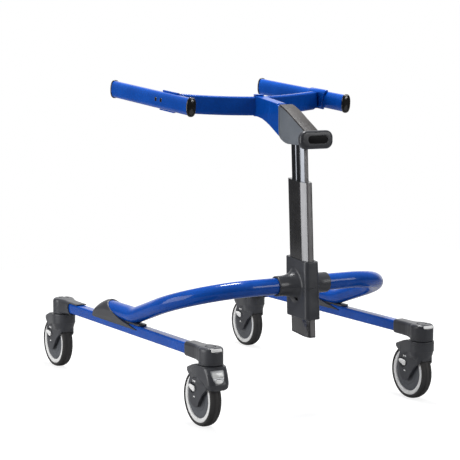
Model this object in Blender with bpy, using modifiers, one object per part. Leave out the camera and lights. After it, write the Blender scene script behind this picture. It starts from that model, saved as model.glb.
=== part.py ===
"""Gait trainer: a wheeled base with two rails and a bowed tube, a telescoping mast and a forked upper frame.

Metres, +Z up.  The user walks towards -Y between the rails, so the user's right side is -X.
Heights are counted from the floor.  Lengths along Y are first laid out from the middle of the
wheelbase, and one empty then moves the whole model so that its box is centred on the origin.
"""
import math

import bmesh
import bpy
from mathutils import Matrix, Vector

# Overall layout
WHEELBASE = 0.744
TRACK = 0.564
GAP = 0.0003

# Wheels
WHEEL_RADIUS = 0.0635
WHEEL_WIDTH = 0.028
TREAD_CROWN = 0.0065
RIM_OUTER_RADIUS = 0.055
RIM_INNER_RADIUS = 0.045
RIM_WIDTH = 0.025
CORE_RIM_WIDTH = 0.021
CORE_HUB_WIDTH = 0.0276
CORE_HUB_RADIUS = 0.016
AXLE_RADIUS = 0.006
AXLE_SEAT_DEPTH = 0.0025
WHEEL_STEPS = 24

# Caster forks
CASTER_TRAIL = 0.036
TYRE_CLEARANCE = 0.002
CHEEK_CLEARANCE = 0.0015
CHEEK_THICKNESS = 0.0055
CROWN_THICKNESS = 0.0127
NECK_RADIUS = 0.029
NECK_SIDES = 24
BOSS_RADIUS = 0.020
BEAK_REACH = 0.084
BEAK_HALF_WIDTH = 0.0165
STEM_RADIUS = 0.008
STEM_LENGTH = 0.030
RUNNING_CLEARANCE = 0.0004

# Selector knobs on the fork cheeks
KNOB_RADIUS = 0.0062
KNOB_TAIL = 0.019
KNOB_THICKNESS = 0.0032
KNOB_PIN_RADIUS = 0.003
KNOB_PIN_LENGTH = 0.0035
KNOB_ABOVE_AXLE = 0.022
KNOB_ANGLE = math.radians(14)
POCKET_RADIUS = 0.0115
POCKET_DEPTH = 0.002

# End fittings between the casters and the rails
ELBOW_RADIUS = 0.027
ELBOW_HEIGHT = 0.039
ELBOW_FLOOR = 0.008
ELBOW_WALL = 0.0035
FRONT_ELBOW_REACH = 0.090
REAR_ELBOW_REACH = 0.104
REAR_ELBOW_ARCH = 0.057
RAIL_INSET = 0.0345
SEAM_GAP = 0.0006
EDGE_ROUNDING = 0.003

# Rails
RAIL_SIZE = 0.025
RAIL_WALL = 0.002
RAIL_CORNER = 0.004

# Bowed tube
BOW_RADIUS = 0.019
BOW_WALL = 0.002
BOW_RISE = 0.331
BOW_BEND_Y = -0.020
BOW_BEND_RADIUS = 0.130
BOW_END_Y = 0.105
BOW_CORNER_RADIUS = 0.155
BOW_FRONT_Y = -0.290
BOW_CORNER_STEPS = 9
BOW_BEND_STEPS = 5
BOW_RING_RESOLUTION = 4

# Saddles and the thin tongues on their noses
SADDLE_REAR_Y = 0.1865
SADDLE_CREST_Y = 0.106
SADDLE_OPENING_Y = 0.100
SADDLE_FRONT_Y = -0.011
SADDLE_WALL = 0.0026
SADDLE_SKIRT = 0.0095
SADDLE_SKIRT_FRONT_Y = -0.053
TONGUE_TIP_Y = -0.061
TONGUE_WIDTH = 0.0238
TONGUE_THICKNESS = 0.0042

# Mast
MAST_LEAN = math.radians(3.48)
MAST_BEHIND_BOW = -0.010
MAST_DEPTH = 0.068
MAST_WIDTH = 0.029
MAST_CORNER = 0.006
MAST_FRONT_TAPER = 0.017
MAST_BELOW_BOW = 0.1085
MAST_ABOVE_BOW = 0.2360
MAST_END_SLOPE = 0.175
MAST_GROOVE_DEPTH = 0.0012
MAST_GROOVE_WIDTH = 0.0012
MAST_FACE_STRIP = 0.0124
FOOT_THICKNESS = 0.003
FOOT_SPIGOT = 0.012
INNER_DEPTH = 0.048
INNER_WIDTH = 0.019
INNER_CORNER = 0.004
INNER_FRONT_TAPER = 0.016
INNER_FIT = 0.0004
INNER_BOTTOM = 0.108
INNER_EXPOSED = 0.0804
INNER_IN_HEAD = 0.0260
INNER_FLUTE_DEPTH = 0.0013
INNER_FLUTE_LENGTH = 0.006
INNER_FLUTE_Y = -0.003
INNER_POCKET_Y = 0.012
INNER_POCKET_LENGTH = 0.016
INNER_POCKET_WIDTH = 0.010
SCALE_WIDTH = 0.008
SCALE_THICKNESS = 0.002
SCALE_PITCH = 0.012
SCALE_NOTCH_DEPTH = 0.0010
SCALE_NOTCH_HALF = 0.0016
SCALE_MARGIN = 0.008

# Gas spring inside the mast
SPRING_RADIUS = 0.006
SPRING_ROD_RADIUS = 0.003
SPRING_Y = -0.010
SPRING_PIN_HEIGHT = 0.027
SPRING_PIN_RADIUS = 0.0026
SPRING_ROD_LENGTH = 0.226
SPRING_BOTTOM_INSET = 0.004
SPRING_TOP_WALL = 0.010
VALVE_RADIUS = 0.002
VALVE_STAND = 0.0055
VALVE_DEPTH = 0.004

# Hub clamped round the mast and the bowed tube
HUB_WIDTH = 0.040
HUB_DEPTH = 0.088
HUB_BEHIND_MAST = 0.003
HUB_ABOVE = 0.0592
HUB_BELOW = 0.0730
HUB_TOP_SLOPE = 0.146
HUB_SEAM_SLOPE = 0.120
HUB_BOTTOM_SLOPE = 0.100
HUB_CORNER = 0.008
COLLAR_REACH = 0.068
COLLAR_NECK = 0.046
COLLAR_WALL = 0.0042
COLLAR_ROOT_RADIUS = 0.036
HUB_BOLT_RADIUS = 0.0042
HUB_BOLT_DEPTH = 0.0038
HUB_BOLT_DROP = 0.030
HUB_BOLT_Y = -0.0045

# Head on top of the inner mast, laid out from the point where the mast's axis enters it
HEAD_HALF_WIDTH = 0.0172
HEAD_WALL = 0.0044
RIDGE_RISE = 0.0026
RIDGE_STEP = 0.0015
RIDGE_ROUNDING = 0.0012
NECK_HALF_WIDTH = 0.0125
LEVER_HALF_WIDTH = 0.007
LEVER_SLOT_CLEARANCE = 0.0006
LEVER_PIVOT = (0.033, 0.047)
LEVER_BOSS_RADIUS = 0.006
LEVER_PIN_RADIUS = 0.0028
PADDLE_HALF_WIDTH = 0.043
PADDLE_DEPTH = 0.016
PADDLE_FRONT = -0.071
PADDLE_HALF_HEIGHT = 0.0205
PADDLE_MIDDLE = 0.0145
PADDLE_CORNER = 0.013
PADDLE_ROUNDING = 0.0045

# Yoke: a pin behind the head carries two side bars
YOKE_SETBACK = 0.1767
YOKE_BARREL_RADIUS = 0.0125
YOKE_PIN_RADIUS = 0.0048
YOKE_BOTTOM = 0.0550
KNUCKLE_HEIGHT = 0.0117
KNUCKLE_GAP = 0.0003
YOKE_CAP_THICKNESS = 0.0032
BAR_THICKNESS = 0.018
BAR_HEIGHT = 0.044
BAR_ROUNDING = 0.006
BAR_RISE = 0.008
BAR_STATIONS = 5

# Arms: brackets on the bars' outer pins carry the oval tubes
ARM_HALF_SPACING = 0.210
ARM_PIN_FROM_YOKE = 0.050
ARM_BARREL_RADIUS = 0.0075
ARM_PIN_RADIUS = 0.003
ARM_KNUCKLE_HEIGHT = 0.023
ARM_BARREL_HEIGHT = 0.038
ARM_TUBE_WIDTH = 0.022
ARM_TUBE_HEIGHT = 0.040
ARM_TUBE_WALL = 0.002
ARM_TUBE_LENGTH = 0.374
ARM_TUBE_BEHIND_PIN = 0.0875
ARM_TUBE_ABOVE_PIN = 0.0095
ARM_PITCH = math.radians(4.2)
BRACKET_LENGTH = 0.084
BRACKET_WALL = 0.0035
BRACKET_LIP = 0.003
BRACKET_BEHIND_PIN = 0.011
CAP_THICKNESS = 0.0045
CAP_LIP = 0.0025
CAP_SPIGOT = 0.010

# Distance counter on the front of the user's right front fork
COUNTER_REACH = 0.046
COUNTER_STATIONS = (
    (0.0855, 0.0195, 0.0340, 0.012),
    (0.0885, 0.0240, 0.0405, 0.013),
    (0.0950, 0.0265, 0.0445, 0.014),
    (0.1040, 0.0270, COUNTER_REACH, 0.014),
    (0.1160, 0.0262, 0.0455, 0.014),
    (0.1280, 0.0250, 0.0425, 0.015),
    (0.1370, 0.0235, 0.0370, 0.016),
    (0.1408, 0.0220, 0.0320, 0.016),
)
COUNTER_WALL_BEHIND = 0.004
BUTTON_HALF_WIDTH = 0.007
BUTTON_HALF_HEIGHT = 0.004
BUTTON_STAND = 0.0015
BUTTON_LENGTH = 0.006
BUTTON_HEIGHT_ABOVE_AXLE = 0.044
BUTTON_ACROSS = -0.005

# Derived heights and lengths
WELL_RADIUS = WHEEL_RADIUS + TYRE_CLEARANCE
CHEEK_INSIDE = WHEEL_WIDTH / 2 + CHEEK_CLEARANCE
CHEEK_OUTSIDE = CHEEK_INSIDE + CHEEK_THICKNESS
CROWN_TOP = WHEEL_RADIUS + WELL_RADIUS + CROWN_THICKNESS
ELBOW_BOTTOM = CROWN_TOP + SEAM_GAP
RAIL_BOTTOM = ELBOW_BOTTOM + ELBOW_FLOOR
RAIL_TOP = RAIL_BOTTOM + RAIL_SIZE
BOW_END_HEIGHT = RAIL_TOP + GAP + BOW_RADIUS
BOW_FRONT_HEIGHT = BOW_END_HEIGHT + BOW_RISE * (BOW_BEND_Y - BOW_FRONT_Y)
MAST_Y = BOW_FRONT_Y + MAST_BEHIND_BOW
HEAD_DISTANCE = MAST_ABOVE_BOW + INNER_EXPOSED
HEAD_Y = MAST_Y + HEAD_DISTANCE * math.sin(MAST_LEAN)
HEAD_HEIGHT = BOW_FRONT_HEIGHT + HEAD_DISTANCE * math.cos(MAST_LEAN)
INNER_TOP = HEAD_DISTANCE + INNER_IN_HEAD
ARM_PIN_OFFSET = ARM_TUBE_WIDTH / 2 + GAP + BRACKET_WALL + ARM_BARREL_RADIUS + 0.0007
ARM_PIN_X = ARM_HALF_SPACING - ARM_PIN_OFFSET
YOKE_MIDDLE = YOKE_BOTTOM + 2 * KNUCKLE_HEIGHT + 1.5 * KNUCKLE_GAP
ARM_MIDDLE = YOKE_MIDDLE + BAR_RISE
MODEL_FRONT = -WHEELBASE / 2 - COUNTER_REACH
MODEL_REAR = WHEELBASE / 2 + CASTER_TRAIL + WHEEL_RADIUS
MERGE_DISTANCE = 0.000001

MATERIALS = {
    "blue_paint": ((0.012, 0.055, 0.400), 0.22, 0.0),
    "black_plastic": ((0.040, 0.042, 0.050), 0.45, 0.0),
    "grey_plastic": ((0.140, 0.160, 0.185), 0.45, 0.0),
    "brown_grey_plastic": ((0.105, 0.095, 0.088), 0.50, 0.0),
    "black_anodised": ((0.030, 0.030, 0.034), 0.30, 0.6),
    "aluminium": ((0.420, 0.440, 0.470), 0.30, 0.9),
    "steel": ((0.500, 0.500, 0.510), 0.25, 1.0),
    "tyre_rubber": ((0.045, 0.044, 0.046), 0.70, 0.0),
    "white_plastic": ((0.820, 0.820, 0.820), 0.40, 0.0),
}


def clear_scene():
    for item in list(bpy.data.objects):
        bpy.data.objects.remove(item)


def make_collection(name):
    collection = bpy.data.collections.new(name)
    bpy.context.scene.collection.children.link(collection)
    return collection


def make_material(name):
    colour, roughness, metallic = MATERIALS[name]
    material = bpy.data.materials.new(name)
    material.use_nodes = True
    shader = material.node_tree.nodes["Principled BSDF"]
    shader.inputs["Base Color"].default_value = (*colour, 1.0)
    shader.inputs["Roughness"].default_value = roughness
    shader.inputs["Metallic"].default_value = metallic
    return material


clear_scene()
PARTS = make_collection("gait_trainer")
CUTTERS = make_collection("cutters")
MATERIAL = {name: make_material(name) for name in MATERIALS}


# Shapes: each of these returns a closed mesh

FACING = {
    "x": Matrix(((0, 0, 1, 0), (1, 0, 0, 0), (0, 1, 0, 0), (0, 0, 0, 1))),
    "y": Matrix(((1, 0, 0, 0), (0, 0, 1, 0), (0, 1, 0, 0), (0, 0, 0, 1))),
    "z": Matrix.Identity(4),
}


def merge_and_orient(mesh):
    work = bmesh.new()
    work.from_mesh(mesh)
    bmesh.ops.remove_doubles(work, verts=work.verts, dist=MERGE_DISTANCE)
    bmesh.ops.recalc_face_normals(work, faces=work.faces)
    work.to_mesh(mesh)
    work.free()
    return mesh


def evaluated_mesh(item):
    depsgraph = bpy.context.evaluated_depsgraph_get()
    return bpy.data.meshes.new_from_object(item.evaluated_get(depsgraph))


def mesh_of_guide(data, prepare=None):
    """Evaluate a curve or an open mesh through a temporary guide object."""
    guide = bpy.data.objects.new("guide", data)
    CUTTERS.objects.link(guide)
    if prepare:
        prepare(guide)
    mesh = evaluated_mesh(guide)
    bpy.data.objects.remove(guide)
    return mesh


def plate(outlines, low, high, facing):
    """Flat outlines (the first one outside, the others holes) given thickness along the facing axis."""
    curve = bpy.data.curves.new("outline", "CURVE")
    curve.dimensions = "2D"
    curve.fill_mode = "BOTH"
    curve.extrude = (high - low) / 2
    for outline in outlines:
        spline = curve.splines.new("POLY")
        spline.points.add(len(outline) - 1)
        for point, (u, v) in zip(spline.points, outline):
            point.co = (u, v, 0, 1)
        spline.use_cyclic_u = True
    mesh = mesh_of_guide(curve)
    mesh.transform(Matrix.Translation((0, 0, (low + high) / 2)))
    mesh.transform(FACING[facing])
    return merge_and_orient(mesh)


def cylinder(radius, low, high, facing, sides, centre=(0.0, 0.0)):
    work = bmesh.new()
    depth = high - low
    bmesh.ops.create_cone(work, cap_ends=True, segments=sides, radius1=radius, radius2=radius, depth=depth)
    mesh = bpy.data.meshes.new("cylinder")
    work.to_mesh(mesh)
    work.free()
    mesh.transform(Matrix.Rotation(math.pi / sides, 4, "Z"))
    mesh.transform(Matrix.Translation((centre[0], centre[1], (low + high) / 2)))
    mesh.transform(FACING[facing])
    return merge_and_orient(mesh)


def box(low, high):
    work = bmesh.new()
    bmesh.ops.create_cube(work, size=1.0)
    mesh = bpy.data.meshes.new("box")
    work.to_mesh(mesh)
    work.free()
    low = Vector(low)
    high = Vector(high)
    mesh.transform(Matrix.Translation((low + high) / 2) @ Matrix.Diagonal((*(high - low), 1.0)))
    return mesh


def turned(profile, steps, closed):
    """Turn a profile of (radius, place along X) points about the X axis, a flat facet lowest."""
    work = bmesh.new()
    points = [work.verts.new((radius, 0, -along)) for radius, along in profile]
    for first, second in zip(points, points[1:]):
        work.edges.new((first, second))
    if closed:
        work.edges.new((points[-1], points[0]))
    mesh = bpy.data.meshes.new("profile")
    work.to_mesh(mesh)
    work.free()

    def add_screw(guide):
        screw = guide.modifiers.new("screw", "SCREW")
        screw.axis = "Z"
        screw.steps = steps
        screw.render_steps = steps
        screw.use_merge_vertices = True
        screw.merge_threshold = MERGE_DISTANCE

    solid = mesh_of_guide(mesh, add_screw)
    solid.transform(Matrix.Rotation(math.pi / steps, 4, "Z"))
    solid.transform(Matrix.Rotation(math.radians(90), 4, "Y"))
    return merge_and_orient(solid)


def tube_along(points, radius, resolution, capped):
    curve = bpy.data.curves.new("tube", "CURVE")
    curve.dimensions = "3D"
    curve.bevel_depth = radius
    curve.bevel_resolution = resolution
    curve.use_fill_caps = capped
    spline = curve.splines.new("POLY")
    spline.points.add(len(points) - 1)
    for point, place in zip(spline.points, points):
        point.co = (*place, 1.0)
    return merge_and_orient(mesh_of_guide(curve))


def rounded_rectangle(half_u, half_v, corner, steps=3, centre=(0.0, 0.0)):
    points = []
    for quarter, (side_u, side_v) in enumerate(((1, 1), (-1, 1), (-1, -1), (1, -1))):
        for step in range(steps + 1):
            angle = (quarter + step / steps) * math.pi / 2
            u = side_u * (half_u - corner) + corner * math.cos(angle)
            v = side_v * (half_v - corner) + corner * math.sin(angle)
            points.append((centre[0] + u, centre[1] + v))
    return points


def arc(centre, radius, start, end, steps):
    """Points on an arc, angles in degrees."""
    angles = [math.radians(start + (end - start) * step / steps) for step in range(steps + 1)]
    return [(centre[0] + radius * math.cos(a), centre[1] + radius * math.sin(a)) for a in angles]


def mirrored_outline(half):
    """Close a half outline, listed along its +u side, with its mirror image."""
    return half + [(-u, v) for u, v in reversed(half)]


# Objects


def place(item, parent, location):
    item.parent = parent
    item.location = location
    return item


def empty(name, parent, location, rotation=(0.0, 0.0, 0.0)):
    item = bpy.data.objects.new(name, None)
    PARTS.objects.link(item)
    item.rotation_euler = rotation
    return place(item, parent, location)


def part(name, mesh, material, parent, location=(0.0, 0.0, 0.0)):
    mesh.name = name
    if not mesh.materials:
        mesh.materials.append(MATERIAL[material])
    mesh.shade_smooth()
    mesh.set_sharp_from_angle(angle=math.radians(35))
    item = bpy.data.objects.new(name, mesh)
    PARTS.objects.link(item)
    return place(item, parent, location)


def combine(item, mesh, operation):
    """Apply a second solid, given in the item's own frame, to an item with a live Boolean."""
    tool = bpy.data.objects.new(item.name + "_tool", mesh)
    CUTTERS.objects.link(tool)
    tool.display_type = "WIRE"
    tool.hide_render = True
    tool.rotation_euler = item.rotation_euler
    place(tool, item.parent, item.location)
    modifier = item.modifiers.new(operation.lower(), "BOOLEAN")
    modifier.operation = operation
    modifier.object = tool
    return item


def cut(item, mesh):
    return combine(item, mesh, "DIFFERENCE")


def fuse(item, mesh):
    return combine(item, mesh, "UNION")


def keep_inside(item, mesh):
    return combine(item, mesh, "INTERSECT")


def rounded(item, width, segments):
    modifier = item.modifiers.new("rounding", "BEVEL")
    modifier.width = width
    modifier.segments = segments
    modifier.limit_method = "ANGLE"
    modifier.angle_limit = math.radians(40)
    return item


def pattern(name, mesh):
    """An object that is only worked on to give the mesh that several parts share."""
    item = bpy.data.objects.new(name, mesh)
    CUTTERS.objects.link(item)
    item.display_type = "WIRE"
    item.hide_render = True
    return item


# Empties that carry the model

origin = empty("model_origin", None, (0.0, -(MODEL_FRONT + MODEL_REAR) / 2, 0.0))
mast_frame = empty("mast_frame", origin, (0.0, MAST_Y, BOW_FRONT_HEIGHT), (-MAST_LEAN, 0.0, 0.0))
head_frame = empty("head_frame", origin, (0.0, HEAD_Y, HEAD_HEIGHT))
SIDES = {"right": -1, "left": 1}


# Casters


def tyre_mesh():
    facet = math.cos(math.pi / WHEEL_STEPS)
    steps = 6
    profile = [(RIM_OUTER_RADIUS + GAP, -WHEEL_WIDTH / 2)]
    for step in range(steps + 1):
        angle = math.pi * (step / steps - 0.5)
        radius = WHEEL_RADIUS - TREAD_CROWN + TREAD_CROWN * math.cos(angle)
        profile.append((radius / facet, WHEEL_WIDTH / 2 * math.sin(angle)))
    profile.append((RIM_OUTER_RADIUS + GAP, WHEEL_WIDTH / 2))
    return turned(profile, WHEEL_STEPS, True)


def rim_mesh():
    half = RIM_WIDTH / 2
    inner = RIM_INNER_RADIUS
    outer = RIM_OUTER_RADIUS
    corners = ((inner, -half), (outer, -half), (outer, half), (inner, half))
    return turned(corners, WHEEL_STEPS, True)


def core_mesh():
    bore = AXLE_RADIUS + RUNNING_CLEARANCE
    outer = RIM_INNER_RADIUS - GAP
    half = [(bore, CORE_HUB_WIDTH / 2), (CORE_HUB_RADIUS, CORE_HUB_WIDTH / 2), (outer, CORE_RIM_WIDTH / 2)]
    profile = [(radius, -along) for radius, along in half] + list(reversed(half))
    return turned(profile, WHEEL_STEPS, True)


def housing_side_outline():
    """Side view of the fork's upper housing, from the neck's front round the beak and back."""
    top = CROWN_TOP
    return [
        (-NECK_RADIUS - 0.001, top),
        (0.026, top),
        (0.045, top - 0.005),
        (BEAK_REACH - 0.014, top - 0.0135),
        (BEAK_REACH, top - 0.0195),
        (BEAK_REACH - 0.001, top - 0.0225),
        (BEAK_REACH - 0.014, top - 0.0285),
        (0.044, top - 0.0270),
        (0.012, top - 0.0257),
        (-0.008, top - 0.0345),
        (-0.020, top - 0.0410),
        (-NECK_RADIUS - 0.001, top - 0.0420),
    ]


def housing_top_outline():
    """Top view of the fork's upper housing: a round neck running back into a beak."""
    front = arc((0.0, 0.0), NECK_RADIUS, -90, 0, 7)
    sides = [
        (NECK_RADIUS - 0.001, 0.012),
        (NECK_RADIUS - 0.005, 0.034),
        (BEAK_HALF_WIDTH + 0.003, 0.060),
        (BEAK_HALF_WIDTH, BEAK_REACH - 0.008),
        (BEAK_HALF_WIDTH - 0.005, BEAK_REACH),
    ]
    return mirrored_outline(front + sides)


def cheek_outline():
    """Side view of the fork's cheeks: broad under the crown, round about the axle."""
    axle = (CASTER_TRAIL, WHEEL_RADIUS)
    front = [(-0.022, 0.033), (-0.013, 0.025), (0.000, 0.015), (0.009, 0.004)]
    boss = arc(axle, BOSS_RADIUS, 197, 352, 7)
    rear = [(0.062, 0.0225), (0.060, 0.0345), (0.055, 0.0465), (0.055, 0.0600)]
    points = [(y, WHEEL_RADIUS + z) for y, z in front] + boss
    points += [(y, WHEEL_RADIUS + z) for y, z in rear]
    return points + [(-0.022, WHEEL_RADIUS + 0.0600)]


def knob_place():
    return (CASTER_TRAIL, WHEEL_RADIUS + KNOB_ABOVE_AXLE)


def fork_mesh():
    item = pattern("fork_pattern", plate([housing_top_outline()], 0.0, CROWN_TOP, "z"))
    keep_inside(item, plate([housing_side_outline()], -2 * NECK_RADIUS, 2 * NECK_RADIUS, "x"))
    fuse(item, plate([cheek_outline()], -CHEEK_OUTSIDE, CHEEK_OUTSIDE, "x"))
    axle = (CASTER_TRAIL, WHEEL_RADIUS)
    cut(item, cylinder(WELL_RADIUS / math.cos(math.pi / 30), -CHEEK_INSIDE, CHEEK_INSIDE, "x", 30, axle))
    seat = CHEEK_INSIDE + AXLE_SEAT_DEPTH
    cut(item, cylinder(AXLE_RADIUS + RUNNING_CLEARANCE, -seat, seat, "x", 12, axle))
    y, z = knob_place()
    pocket_centre = (y + 0.006, z - 0.001)
    pocket_floor = -CHEEK_OUTSIDE + POCKET_DEPTH
    cut(item, cylinder(POCKET_RADIUS, -CHEEK_OUTSIDE - 0.002, pocket_floor, "x", 14, pocket_centre))
    pin_end = -CHEEK_OUTSIDE - GAP + KNOB_PIN_LENGTH + GAP
    pin_hole = KNOB_PIN_RADIUS + RUNNING_CLEARANCE
    cut(item, cylinder(pin_hole, -CHEEK_OUTSIDE - 0.002, pin_end, "x", 12, (y, z)))
    fuse(item, cylinder(STEM_RADIUS, CROWN_TOP - 0.002, CROWN_TOP + STEM_LENGTH, "z", 12))
    return merge_and_orient(evaluated_mesh(item))


def axle_mesh():
    half = CHEEK_INSIDE + AXLE_SEAT_DEPTH - GAP
    return cylinder(AXLE_RADIUS, -half, half, "x", 12)


def knob_mesh():
    """A teardrop lever with a short pin, its origin on the pin's axis at the cheek's outer face."""
    tip = (KNOB_TAIL * math.cos(KNOB_ANGLE), KNOB_TAIL * math.sin(KNOB_ANGLE))
    turn = math.degrees(KNOB_ANGLE)
    outline = arc((0.0, 0.0), KNOB_RADIUS, turn + 75, turn + 285, 8) + [tip]
    item = pattern("knob_pattern", plate([outline], -GAP - KNOB_THICKNESS, -GAP, "x"))
    fuse(item, cylinder(KNOB_PIN_RADIUS, -GAP - KNOB_THICKNESS / 2, -GAP + KNOB_PIN_LENGTH, "x", 12))
    return merge_and_orient(evaluated_mesh(item))


def counter_housing(parent):
    """A bulging case on the front of the fork, cut to the neck and clear of the tyre."""
    reach = COUNTER_REACH
    case = lofted([counter_ring(*station) for station in COUNTER_STATIONS])
    item = part("counter_housing", case, "black_plastic", parent)
    grown = NECK_RADIUS + GAP
    neck = [(u * grown / NECK_RADIUS, v * grown / NECK_RADIUS) for u, v in housing_top_outline()]
    rim = CROWN_TOP - 0.048
    cut(item, plate([neck], rim - GAP, CROWN_TOP + 0.002, "z"))
    cut(item, box((-0.1, -0.0225, 0.0), (0.1, 0.1, rim)))
    beside = CHEEK_OUTSIDE + GAP
    cut(item, box((-beside, -0.0225, 0.0), (beside, 0.1, CROWN_TOP - 0.012)))
    clear_radius = WELL_RADIUS + COUNTER_WALL_BEHIND / 2
    cut(item, cylinder(clear_radius, -CHEEK_INSIDE, CHEEK_INSIDE, "x", 30, (CASTER_TRAIL, WHEEL_RADIUS)))
    button = rounded_button(BUTTON_HALF_WIDTH + RUNNING_CLEARANCE, BUTTON_HALF_HEIGHT + RUNNING_CLEARANCE)
    depth = BUTTON_LENGTH - BUTTON_STAND + 0.002
    cut(item, plate([button], -reach - 0.002, -reach + depth, "y"))
    return item


def counter_ring(height, half_width, front, corner):
    """One level of the counter's case: front corners rounded, back edge inside the fork's neck."""
    points = arc((half_width - corner, corner - front), corner, -90, 0, 5)
    back = [(half_width, -0.014), (half_width - 0.004, -0.004)]
    return [(u, v, height) for u, v in mirrored_outline(points + back)]


def lofted(rings):
    """Skin a stack of rings that have the same number of points, lowest ring first."""
    work = bmesh.new()
    levels = [[work.verts.new(point) for point in ring] for ring in rings]
    for lower, upper in zip(levels, levels[1:]):
        for index in range(len(lower)):
            after = (index + 1) % len(lower)
            work.faces.new((lower[index], lower[after], upper[after], upper[index]))
    work.faces.new(list(reversed(levels[0])))
    work.faces.new(levels[-1])
    mesh = bpy.data.meshes.new("loft")
    work.to_mesh(mesh)
    work.free()
    return merge_and_orient(mesh)


def rounded_button(half_width, half_height):
    centre = (BUTTON_ACROSS, WHEEL_RADIUS + BUTTON_HEIGHT_ABOVE_AXLE)
    return rounded_rectangle(half_width, half_height, half_height * 0.98, 4, centre)


def build_casters():
    fork = fork_mesh()
    tyre = tyre_mesh()
    rim = rim_mesh()
    core = core_mesh()
    axle = axle_mesh()
    knob = knob_mesh()
    for end, y in (("front", -WHEELBASE / 2), ("rear", WHEELBASE / 2)):
        for side, sign in SIDES.items():
            corner = end + "_" + side
            swivel = empty(corner + "_swivel_axis", origin, (sign * TRACK / 2, y, 0.0))
            axis = empty(corner + "_wheel_axis", swivel, (0.0, CASTER_TRAIL, WHEEL_RADIUS))
            knob_y, knob_z = knob_place()
            part(corner + "_fork", fork, "black_plastic", swivel)
            part(corner + "_axle", axle, "steel", axis)
            part(corner + "_tyre", tyre, "tyre_rubber", axis)
            part(corner + "_rim", rim, "white_plastic", axis)
            part(corner + "_wheel_core", core, "black_plastic", axis)
            part(corner + "_selector", knob, "white_plastic", swivel, (-CHEEK_OUTSIDE, knob_y, knob_z))
            if corner == "front_right":
                counter_housing(swivel)
                shape = rounded_button(BUTTON_HALF_WIDTH, BUTTON_HALF_HEIGHT)
                face = -COUNTER_REACH - BUTTON_STAND
                button = plate([shape], face, face + BUTTON_LENGTH, "y")
                part("counter_button", button, "white_plastic", swivel)


# End fittings and rails


def elbow_mesh(reach, arched):
    """A round head over the caster stem, with a socket towards +Y for the rail's end.

    The rear fittings have their sockets' side walls cut back in an arch, so that only the top runs on.
    """
    item = pattern("elbow_pattern", cylinder(ELBOW_RADIUS, 0.0, ELBOW_HEIGHT, "z", NECK_SIDES))
    rounded(item, EDGE_ROUNDING, 1)
    half = RAIL_SIZE / 2 + ELBOW_WALL
    middle = ELBOW_FLOOR + RAIL_SIZE / 2
    socket = rounded_rectangle(half, half, RAIL_CORNER + ELBOW_WALL, 3, (0.0, middle))
    fuse(item, plate([socket], 0.010, reach, "y"))
    hole = rounded_rectangle(RAIL_SIZE / 2 + GAP, RAIL_SIZE / 2 + GAP, RAIL_CORNER, 3, (0.0, middle))
    cut(item, plate([hole], RAIL_INSET - GAP, reach + 0.010, "y"))
    cut(item, cylinder(STEM_RADIUS + RUNNING_CLEARANCE, -0.010, STEM_LENGTH + 0.001, "z", 12))
    if arched:
        lip = ELBOW_FLOOR + RAIL_SIZE + GAP
        start = REAR_ELBOW_ARCH
        arch = [(reach + 0.01, lip), (start + 0.005, lip), (start, lip - 0.004), (start - 0.002, lip - 0.010)]
        arch += [(start + 0.001, lip - 0.019), (start + 0.009, lip - 0.028), (start + 0.018, -0.010)]
        arch += [(reach + 0.01, -0.010)]
        cut(item, plate([arch], -2 * half, 2 * half, "x"))
    return merge_and_orient(evaluated_mesh(item))


def build_elbows():
    front = (-WHEELBASE / 2, 0.0, elbow_mesh(FRONT_ELBOW_REACH, False))
    rear = (WHEELBASE / 2, math.pi, elbow_mesh(REAR_ELBOW_REACH, True))
    for end, (y, turn, shared) in (("front", front), ("rear", rear)):
        for side, sign in SIDES.items():
            name = end + "_" + side + "_elbow"
            item = part(name, shared, "black_plastic", origin, (sign * TRACK / 2, y, ELBOW_BOTTOM))
            item.rotation_euler = (0.0, 0.0, turn)


def build_rails():
    middle = RAIL_BOTTOM + RAIL_SIZE / 2
    outside = rounded_rectangle(RAIL_SIZE / 2, RAIL_SIZE / 2, RAIL_CORNER, 3, (0.0, middle))
    inside_half = RAIL_SIZE / 2 - RAIL_WALL
    inside = rounded_rectangle(inside_half, inside_half, RAIL_CORNER - RAIL_WALL, 1, (0.0, middle))
    reach = WHEELBASE / 2 - RAIL_INSET
    shared = plate([outside, inside], -reach, reach, "y")
    for side, sign in SIDES.items():
        part(side + "_rail", shared, "blue_paint", origin, (sign * TRACK / 2, 0.0, 0.0))


# Bowed tube and saddles


def bow_leg_points():
    """Side view of one leg, rear end first: level in the saddle, an arc, then a straight climb."""
    slope = math.atan(BOW_RISE)
    tangent = BOW_BEND_RADIUS * math.tan(slope / 2)
    centre_y = BOW_BEND_Y + tangent
    centre_z = BOW_END_HEIGHT + BOW_BEND_RADIUS
    points = [(BOW_END_Y, BOW_END_HEIGHT)]
    for step in range(BOW_BEND_STEPS + 1):
        angle = slope * step / BOW_BEND_STEPS
        y = centre_y - BOW_BEND_RADIUS * math.sin(angle)
        z = centre_z - BOW_BEND_RADIUS * math.cos(angle)
        points.append((y, z))
    return points


def bow_height(y):
    return BOW_END_HEIGHT + BOW_RISE * (BOW_BEND_Y - y)


def bow_points():
    leg = [(TRACK / 2, y, z) for y, z in bow_leg_points()]
    corner_x = TRACK / 2 - BOW_CORNER_RADIUS
    corner_y = BOW_FRONT_Y + BOW_CORNER_RADIUS
    for step in range(BOW_CORNER_STEPS + 1):
        angle = math.pi / 2 * step / BOW_CORNER_STEPS
        x = corner_x + BOW_CORNER_RADIUS * math.cos(angle)
        y = corner_y - BOW_CORNER_RADIUS * math.sin(angle)
        leg.append((x, y, bow_height(y)))
    return leg + [(-x, y, z) for x, y, z in reversed(leg)]


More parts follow.
